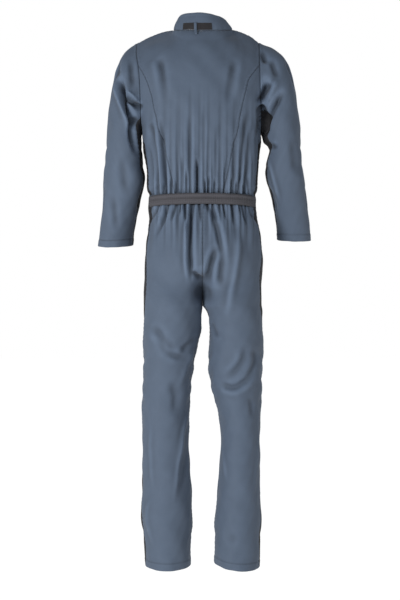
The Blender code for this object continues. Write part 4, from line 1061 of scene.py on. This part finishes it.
def band_relief(points, gaps):
    """Lengthways channels in the elastic, drawn up in small upright ripples."""
    share = gaps["top"] / (gaps["top"] + gaps["foot"])
    x = points[..., 0]
    channels = 0.0005 * np.abs(np.sin(math.pi * BAND_CHANNELS * share))
    ripple = 0.0003 * np.sin(2 * math.pi * x / 0.0052 + 1.2 * np.sin(x / 0.009))
    ends = eased(gaps["top"] / 0.003) * eased(gaps["foot"] / 0.003)
    return (BAND_PROUD + channels) * ends + ripple


def band_painted_shade(points, gaps):
    """Painted shade on the elastic: most along its middle and towards the middle of the back, and a little
    beside its edges.
    """
    share = gaps["top"] / (gaps["top"] + gaps["foot"])
    middle = bell(share - 0.48, 0.10) * (0.55 + 0.45 * bell(points[..., 0], 0.09))
    return np.maximum(middle, 0.5 * bell(np.minimum(share, 1 - share), 0.06))


def waistband(finish):
    rows, columns = odd(BAND_FOOT - BAND_TOP, 0.0011), odd(0.2, 0.0015)

    def build(side):
        down = np.linspace(BAND_TOP, BAND_FOOT, rows)[:, None] * np.ones(columns)
        return on_body(side, np.linspace(0, 1, columns) * read(SIDE_STRIPS, BAND_TOP).back, down)

    points, normals = halves_joined(build)
    return panel("elastic_waistband", points, normals, finish, part=3, seams=("start", "end"),
                 thick=BAND_WALL, extra=band_relief, dark=band_painted_shade)


def stand_collar(finish):
    opening = zip_share(RIGHT, np.array([0.0]))[0] / NECK_SHARE * math.pi / 2
    rows, columns = odd(0.05, 0.0018), odd(0.44, 0.0022)
    angle = np.linspace(opening - math.pi, math.pi - opening, columns) * np.ones((rows, 1))
    up = np.linspace(0, 1, rows)[:, None] * np.ones(columns)
    points, normals = sampled(collar, angle, up, 1)
    return panel("cloth_collar", points, normals, finish, part=3, seams=("top",), thick=COLLAR_WALL,
                 extra=lambda spots, gaps: 0.0006 * eased((0.008 - gaps["foot"]) / 0.002))


# ---- label, loop and zip


def neck_label(finish):
    """A blank satin label on the outside of the collar."""
    rows, columns = odd(0.020, 0.0008), odd(0.072, 0.0016)
    angle = np.linspace(*LABEL_ANGLES, columns) * np.ones((rows, 1))
    up = np.linspace(LABEL_UPS[1], LABEL_UPS[0], rows)[:, None] * np.ones(columns)
    points, normals = sampled(collar, angle, up, 1)

    def edges(spots, gaps):
        border = np.minimum(np.minimum(gaps["top"], gaps["foot"]), np.minimum(gaps["start"], gaps["end"]))
        return 0.0002 * eased((0.003 - border) / 0.0008) + 0.0002 * np.sin(spots[..., 0] / 0.0041)

    return panel("label_neck", points + normals * (GAP + LABEL_WALL), normals, finish, part=3,
                 thick=LABEL_WALL, extra=edges)


def hanger_loop(finish):
    """A narrow strip of twill over the label, sewn into the collar's seam and hanging over it."""
    across = np.linspace(0, 1, 7)
    angle = LOOP_ANGLES[0] + (LOOP_ANGLES[1] - LOOP_ANGLES[0]) * across
    up = np.linspace(LABEL_UPS[1], 0.06, 17)[:, None] * np.ones(7)
    upper, upper_out = sampled(collar, angle * np.ones((17, 1)), up, 1)
    share = np.abs(angle) / (math.pi / 2) * NECK_SHARE * np.ones((8, 1))
    down = np.linspace(0.004, LOOP_DOWN, 8)[:, None] * np.ones(7)
    lower, lower_out = on_body(LEFT, share, down)
    points = np.concatenate([upper, lower])
    normals = np.concatenate([upper_out, lower_out])
    bulge = 0.0016 * np.sin(math.pi * np.linspace(0, 1, 25))[:, None, None]
    clear = 2 * GAP + LABEL_WALL + LOOP_WALL + 0.0006
    return panel("loop_neck", points + normals * (clear + bulge), normals, finish, part=3, thick=LOOP_WALL,
                 extra=lambda spots, gaps: 0.0003 * eased(np.minimum(gaps["start"], gaps["end"]) / 0.0012))


def front_strip(half, columns):
    """The form on both sides of the front's centre line, from the collar to the foot of the zip."""
    offsets = np.linspace(-half, half, columns)
    side_of = np.where(offsets < 0, LEFT, RIGHT)
    ups = np.linspace(0.97, 0.02, 25)
    downs = np.linspace(0.002, ZIP_FOOT + ZIP_CLOSE * 0.9, 2 * round((ZIP_FOOT + ZIP_CLOSE) / 0.0044))
    points, normals = [], []
    for offset, side in zip(offsets, side_of):
        angle = side * (math.pi - math.asin(abs(offset) / NECK_HALF)) * np.ones(len(ups))
        share = 2 - share_at(side, downs, max(abs(offset), 1e-4))
        upper, upper_out = sampled(collar, angle[:, None], ups[:, None], 1)
        lower, lower_out = on_body(side, share[:, None], downs[:, None])
        points.append(np.concatenate([upper, lower]))
        normals.append(np.concatenate([upper_out, lower_out]))
    return np.concatenate(points, axis=1), np.concatenate(normals, axis=1)


def zip_tape(finish):
    points, normals = front_strip(TAPE_HALF, 13)
    return panel("tape_zip", points - normals * TAPE_DEPTH, normals, finish, part=3, thick=0.0010,
                 extra=lambda spots, gaps: 0.0001 * np.sin(2 * math.pi * gaps["start"] / 0.0025))


TOOTH_PITCH = 0.0016
TOOTH_OUTLINE = ((-0.0022, -0.00035), (-0.0017, -0.00055), (+0.0011, -0.00055), (+0.0015, +0.0),
                 (+0.0011, +0.00055), (-0.0017, +0.00055), (-0.0022, +0.00035))


def zip_teeth(finish):
    """The closed coil: a flat-ended loop of monofilament from each side in turn."""
    points, normals = front_strip(CHAIN_HALF, 3)
    swell = swells(points)[..., None]
    line = (points + normals * (swell - TAPE_DEPTH + 0.0012))[:, 1]
    first = int(25 * (1 - CHAIN_TOP)) + 2
    line, out = line[first:], normals[first:, 1]
    spot, out, ahead = evenly(line, out, TOOTH_PITCH / 2)
    aside = unit_rows(np.cross(ahead, out))
    way = np.where(np.arange(len(spot)) % 2 == 0, 1.0, -1.0)[:, None]
    outline = np.array(TOOTH_OUTLINE)
    count = len(outline)
    corners = []
    for lift, shrink in ((-0.0005, 1.0), (+0.0004, 1.0), (+0.0007, 0.62)):
        for x, y in outline * shrink:
            corners.append(spot + aside * way * x + ahead * way * y * 1.25 + out * lift)
    corners = np.stack(corners, axis=1)
    faces = []
    for k in range(count):
        after = (k + 1) % count
        for low in (0, count):
            faces.append((low + k, low + after, low + count + after, low + count + k))
    faces.append(tuple(range(2 * count, 3 * count)))
    faces.append(tuple(range(count - 1, -1, -1)))
    return repeated("coil_zip", corners, faces, finish)


def repeated(name, corners, faces, finish):
    """One mesh of many like bodies: a row of corners for each, and one body's faces."""
    count, each = corners.shape[:2]
    every = [tuple(int(each * k + i) for i in face) for k in range(count) for face in faces]
    return mesh_object(name, corners.reshape(-1, 3), every, finish)


# ---- thread

STITCH_PITCH = 0.0034
STITCH_LONG = 0.0025
STITCH_WIDE = 0.0008
STITCH_HIGH = 0.0005
STITCH_FACES = [(0, 4, 2), (0, 3, 4), (0, 5, 3), (0, 2, 5), (1, 2, 4), (1, 4, 3), (1, 3, 5), (1, 5, 2)]


def evenly(points, normals, pitch):
    """Places along a line at an even pitch, with the cloth's normal and the line's own way at each."""
    length = np.concatenate([[0.0], np.cumsum(np.linalg.norm(np.diff(points, axis=0), axis=1))])
    places = np.arange(pitch / 2, length[-1] - pitch / 2, pitch)

    def at(values, where):
        return np.stack([np.interp(where, length, values[:, i]) for i in range(3)], axis=-1)

    ahead = unit_rows(at(points, places + pitch / 2) - at(points, places - pitch / 2))
    return at(points, places), unit_rows(at(normals, places)), ahead


def line_at(sheet, edge, offset):
    """A panel's surface and normals along a line this far inside one of its edges."""
    outer, normals, gap = sheet.outer, sheet.normals, sheet.gaps[edge]
    if edge in ("top", "foot"):
        outer, normals, gap = (np.swapaxes(grid, 0, 1) for grid in (outer, normals, gap))
    if edge in ("end", "foot"):
        outer, normals, gap = (grid[:, ::-1] for grid in (outer, normals, gap))
    rows = np.arange(len(gap))
    k = np.clip(np.sum(gap < offset, axis=1), 1, gap.shape[1] - 1)
    t = (offset - gap[rows, k - 1]) / np.maximum(gap[rows, k] - gap[rows, k - 1], 1e-9)
    t = np.clip(t, 0.0, 1.0)[:, None]
    mixed = [grid[rows, k - 1] * (1 - t) + grid[rows, k] * t for grid in (outer, normals)]
    return mixed[0], unit_rows(mixed[1])


def sew(name, finish, **edges):
    """Lines of stitches on a panel, at some distances inside its edges, as one mesh."""
    sheet = PANELS[name]
    runs = []
    for edge, offsets in edges.items():
        for offset in offsets:
            spot, out, ahead = evenly(*line_at(sheet, edge, offset), STITCH_PITCH)
            aside = np.cross(ahead, out)
            half, wide = ahead * STITCH_LONG / 2, aside * STITCH_WIDE / 2
            sunk, high = out * STITCH_HIGH * 0.4, out * STITCH_HIGH
            ends = [spot - half - sunk, spot + half - sunk]
            runs.append(np.stack(ends + [spot - wide, spot + wide, spot + high, spot - high], axis=1))
    made = repeated(f"thread_{name}", np.concatenate(runs), STITCH_FACES, finish)
    dress(made, "twill")


# ---- materials


def shader_of(material):
    return material.node_tree.nodes["Principled BSDF"]


def linked(material, start, end):
    material.node_tree.links.new(start, end)


def node(material, kind, **settings):
    made = material.node_tree.nodes.new(kind)
    for name, value in settings.items():
        if name in made.inputs:
            made.inputs[name].default_value = value
        else:
            setattr(made, name, value)
    return made


def blank(name, roughness, sheen=0.0, metallic=0.0):
    material = bpy.data.materials.new(name)
    material.use_nodes = True
    shader = shader_of(material)
    shader.inputs["Roughness"].default_value = roughness
    shader.inputs["Metallic"].default_value = metallic
    shader.inputs["Sheen Weight"].default_value = sheen
    shader.inputs["Sheen Roughness"].default_value = 0.45
    return material


def ranged(material, value, low, high, start=0.0):
    """A value from start to 1, spread from low to high."""
    made = node(material, "ShaderNodeMapRange", **{"From Min": start, "To Min": low, "To Max": high})
    linked(material, value, made.inputs["Value"])
    return made.outputs["Result"]


def product(material, first, second):
    made = node(material, "ShaderNodeMath", operation="MULTIPLY")
    linked(material, first, made.inputs[0])
    linked(material, second, made.inputs[1])
    return made.outputs[0]


def paint(material, colour, shade):
    """A base colour that a shade scales."""
    tint = node(material, "ShaderNodeVectorMath", operation="SCALE")
    tint.inputs[0].default_value = colour
    linked(material, shade, tint.inputs["Scale"])
    linked(material, tint.outputs[0], shader_of(material).inputs["Base Color"])


def raise_by(material, height, strength, distance):
    bump = node(material, "ShaderNodeBump", Strength=strength, Distance=distance)
    linked(material, height, bump.inputs["Height"])
    linked(material, bump.outputs["Normal"], shader_of(material).inputs["Normal"])


def textured(material, kind, place, **settings):
    made = node(material, kind, **settings)
    linked(material, place, made.inputs["Vector"])
    return made.outputs["Fac"]


# How dark the painted shade in crease troughs and how pale the painted highlight on crease ridges make the
# cloth.
FOLD_PAINTED_SHADE = 0.48
FOLD_PAINTED_HIGHLIGHT = 1.20
# How dark the painted shade along seams, hems and the elastic makes the cloth.
SEAM_PAINTED_SHADE = 0.50


def twill(name, colour, roughness=0.82, sheen=0.10, pitch=0.00085, relief=0.06):
    """Twill: slanting ribs, uneven yarn, a little mottling, painted shade in crease troughs and along seams,
    and painted highlight on crease ridges.
    """
    material = blank(name, roughness, sheen)
    weave, fold_painted_light, seam = (node(material, "ShaderNodeAttribute", attribute_name=kind).outputs
                         for kind in ("weave", "fold_painted_light", "seam"))
    ribs = textured(material, "ShaderNodeTexWave", weave["Vector"], wave_type="BANDS",
                    bands_direction="DIAGONAL", Scale=0.31 / pitch / 3.0, Distortion=0.6, Detail=1.0)
    yarn = textured(material, "ShaderNodeTexNoise", weave["Vector"], Scale=900.0, Detail=2.0)
    mottle = textured(material, "ShaderNodeTexNoise", weave["Vector"], Scale=26.0, Detail=4.0, Roughness=0.6)
    shade = product(material, ranged(material, mottle, 0.88, 1.12), ranged(material, ribs, 0.985, 1.015))
    # Painted shade in crease troughs and painted highlight on crease ridges.
    shade = product(material, shade, ranged(material, fold_painted_light["Fac"], FOLD_PAINTED_SHADE, FOLD_PAINTED_HIGHLIGHT, start=-1.0))
    # Painted shade along seams and hem lines, and on the elastic.
    shade = product(material, shade, ranged(material, seam["Fac"], 1.0, SEAM_PAINTED_SHADE))
    paint(material, colour, shade)
    height = node(material, "ShaderNodeMath", operation="MULTIPLY_ADD")
    height.inputs[1].default_value = 0.7
    linked(material, yarn, height.inputs[0])
    linked(material, ribs, height.inputs[2])
    raise_by(material, height.outputs[0], relief, 0.00025)
    return material


def plain(name, colour, roughness, scale, spread, bump, metallic=0.0, sheen=0.0, stretch=(1, 1, 1)):
    """A finish whose colour and roughness vary with fine noise, for thread, label, coil and metal."""
    material = blank(name, roughness, sheen, metallic)
    place = node(material, "ShaderNodeTexCoord").outputs["Object"]
    stretched = node(material, "ShaderNodeMapping", Scale=stretch)
    linked(material, place, stretched.inputs["Vector"])
    noise = textured(material, "ShaderNodeTexNoise", stretched.outputs["Vector"], Scale=scale, Detail=3.0)
    paint(material, colour, ranged(material, noise, 1 - spread, 1 + spread))
    gloss = ranged(material, noise, max(roughness - 0.08, 0.05), min(roughness + 0.08, 1.0))
    linked(material, gloss, shader_of(material).inputs["Roughness"])
    raise_by(material, noise, bump, 0.0002)
    return material


def dress(piece, slot, *nodes, body_name="suit"):
    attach(piece, body_name)
    if nodes:
        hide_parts(*nodes)


# ---- camera, light and floor

AMBIENT = 0.30
LAMPS = table(
    "number x     y     z    size  watts",
    (1, -1.8, -2.5, -0.9, 1.0, 73.0),
    (2, +2.4, -2.0, -1.5, 1.6, 31.0),
    (3, +0.0, +2.6, +1.6, 2.0, 30.0),
)
CAMERA_AT = (-0.007, -2.850, -0.7300)
SEEN_HEIGHT = 1.662


def stage_scene():
    middle = Vector((CAMERA_AT[0], 0.0, CAMERA_AT[2]))
    data = bpy.data.cameras.new("camera")
    data.sensor_fit = "VERTICAL"
    data.sensor_height = 36.0
    data.lens = 36.0 * -CAMERA_AT[1] / SEEN_HEIGHT
    camera = bpy.data.objects.new("camera", data)
    camera.location = CAMERA_AT
    camera.rotation_euler = (math.pi / 2, 0.0, 0.0)
    bpy.context.scene.collection.objects.link(camera)
    bpy.context.scene.camera = camera
    bpy.context.scene.view_settings.view_transform = "Standard"
    world = bpy.data.worlds.new("studio")
    world.use_nodes = True
    nodes, links = world.node_tree.nodes, world.node_tree.links
    soft, seen_white = nodes["Background"], nodes.new("ShaderNodeBackground")
    soft.inputs["Color"].default_value = (0.92, 0.96, 1.0, 1.0)
    soft.inputs["Strength"].default_value = AMBIENT
    seen_white.inputs["Color"].default_value = (1.0, 1.0, 1.0, 1.0)
    mixed, path = nodes.new("ShaderNodeMixShader"), nodes.new("ShaderNodeLightPath")
    links.new(path.outputs["Is Camera Ray"], mixed.inputs["Fac"])
    links.new(soft.outputs["Background"], mixed.inputs[1])
    links.new(seen_white.outputs["Background"], mixed.inputs[2])
    links.new(mixed.outputs["Shader"], nodes["World Output"].inputs["Surface"])
    bpy.context.scene.world = world
    for row in rows_of(LAMPS):
        lamp(f"lamp_{int(row.number)}", (row.x, row.y, row.z), middle, row.size, row.watts)
    floor_mesh = bpy.data.meshes.new("floor")
    far, level = 12.0, CAD_LOW[2] - 0.12
    corners = [(far * x, far * y, level) for x, y in ((-1, -1), (1, -1), (1, 1), (-1, 1))]
    floor_mesh.from_pydata(corners, [], [(0, 1, 2, 3)])
    floor = bpy.data.objects.new("floor", floor_mesh)
    floor.visible_diffuse = False
    pale = blank("pale_floor", 0.9)
    shader_of(pale).inputs["Base Color"].default_value = (0.10, 0.10, 0.10, 1.0)
    shader_of(pale).inputs["Emission Color"].default_value = (1.0, 1.0, 1.0, 1.0)
    shader_of(pale).inputs["Emission Strength"].default_value = 0.97
    floor_mesh.materials.append(pale)
    bpy.context.scene.collection.objects.link(floor)


def lamp(name, place, target, size, power):
    data = bpy.data.lights.new(name, "AREA")
    data.shape = "DISK"
    data.size = size
    data.energy = power
    made = bpy.data.objects.new(name, data)
    made.location = place
    made.rotation_euler = (Vector(target) - Vector(place)).to_track_quat("-Z", "Y").to_euler()
    bpy.context.scene.collection.objects.link(made)


# Lines of stitches: how far inside each edge.
SINGLE = (0.0022,)
DOUBLE = (0.0022, 0.0080)
HEMMED = (HEM_DEEP,)
BESIDE_ZIP = (0.0060,)
STITCHED = {
    "back_side": {"start": (0.0025,)},
    "front": {"start": BESIDE_ZIP, "top": SINGLE, "foot": SINGLE},
    "front_leg": {"top": DOUBLE, "foot": HEMMED, "end": DOUBLE},
    "back_leg": {"start": DOUBLE, "end": DOUBLE, "foot": HEMMED},
    "side_strip": {"start": SINGLE, "end": SINGLE, "foot": HEMMED},
    "sleeve": {"top": DOUBLE, "start": SINGLE, "end": SINGLE, "foot": HEMMED},
    "sleeve_under": {"start": SINGLE, "end": SINGLE, "foot": HEMMED},
}


def main():
    for old in [o for o in bpy.data.objects if o.type in ("CAMERA", "LIGHT") or o.name == "Cube"]:
        bpy.data.objects.remove(old, do_unlink=True)
    stage_scene()
    slate = twill("slate_twill", (0.097, 0.135, 0.198))
    black = twill("black_twill", (0.010, 0.010, 0.013), sheen=0.0)
    elastic = twill("grey_elastic", (0.085, 0.082, 0.094), 0.9, 0.1, 0.0016, 0.4)
    tape = twill("zip_tape_weave", (0.014, 0.014, 0.017), 0.75, 0.0, 0.0011, 0.3)
    thread = plain("slate_thread", (0.105, 0.148, 0.215), 0.55, 900.0, 0.15, 0.3, sheen=0.2)
    dark_thread = plain("black_thread", (0.016, 0.016, 0.020), 0.55, 900.0, 0.2, 0.3)
    satin = plain("satin_label", (0.020, 0.018, 0.020), 0.32, 420.0, 0.25, 0.15, sheen=0.3, stretch=(1, 1, 9))
    coil = plain("coil_plastic", (0.012, 0.012, 0.014), 0.38, 700.0, 0.15, 0.1)
    nickel = plain("dark_nickel", (0.27, 0.27, 0.28), 0.32, 350.0, 0.12, 0.12, 1.0, stretch=(1, 1, 6))
    dress(back_centre(slate), "twill", "back_centre")
    dress(waistband(elastic), "elastic", "waistband")
    both_sides = (
        (back_side, "back_side", slate),
        (front, "front", slate),
        (front_leg, "front_leg", slate),
        (back_leg, "back_leg", slate),
        (side_strip, "side_strip", black),
        (sleeve_piece, "sleeve", slate),
        (under_sleeve, "sleeve_under", black),
    )
    for side, word in ((LEFT, "left"), (RIGHT, "right")):
        for build, piece, finish in both_sides:
            slot = "black_twill" if finish == black else "twill"
            dress(build(side, f"cloth_{piece}_{word}", finish), slot, f"{piece}_{word}")
        for piece, edges in STITCHED.items():
            dark = piece in ("side_strip", "sleeve_under")
            sew(f"cloth_{piece}_{word}", dark_thread if dark else thread, **edges)
    dress(stand_collar(slate), "twill", "collar")
    dress(neck_label(satin), "black_tape", "neck_label")
    dress(hanger_loop(slate), "twill", "hanger_loop")
    dress(zip_tape(tape), "black_tape", "zip_tape")
    dress(zip_teeth(coil), "zip_coil", "zip_chain")
    sew("cloth_back_centre", thread, start=DOUBLE, end=DOUBLE, top=SINGLE)
    sew("elastic_waistband", dark_thread, top=(0.0020, 0.0092), foot=(0.0020, 0.0092))
    sew("cloth_collar", thread, top=SINGLE, foot=(0.0022, 0.0075), start=BESIDE_ZIP, end=BESIDE_ZIP)
    sew("label_neck", dark_thread, start=(0.0012,), end=(0.0012,))
    for name in ("zip_slider", "zip_pull"):
        shown = frame["nodes"][name]
        shown.data.materials.clear()
        shown.data.materials.append(nickel)


main()
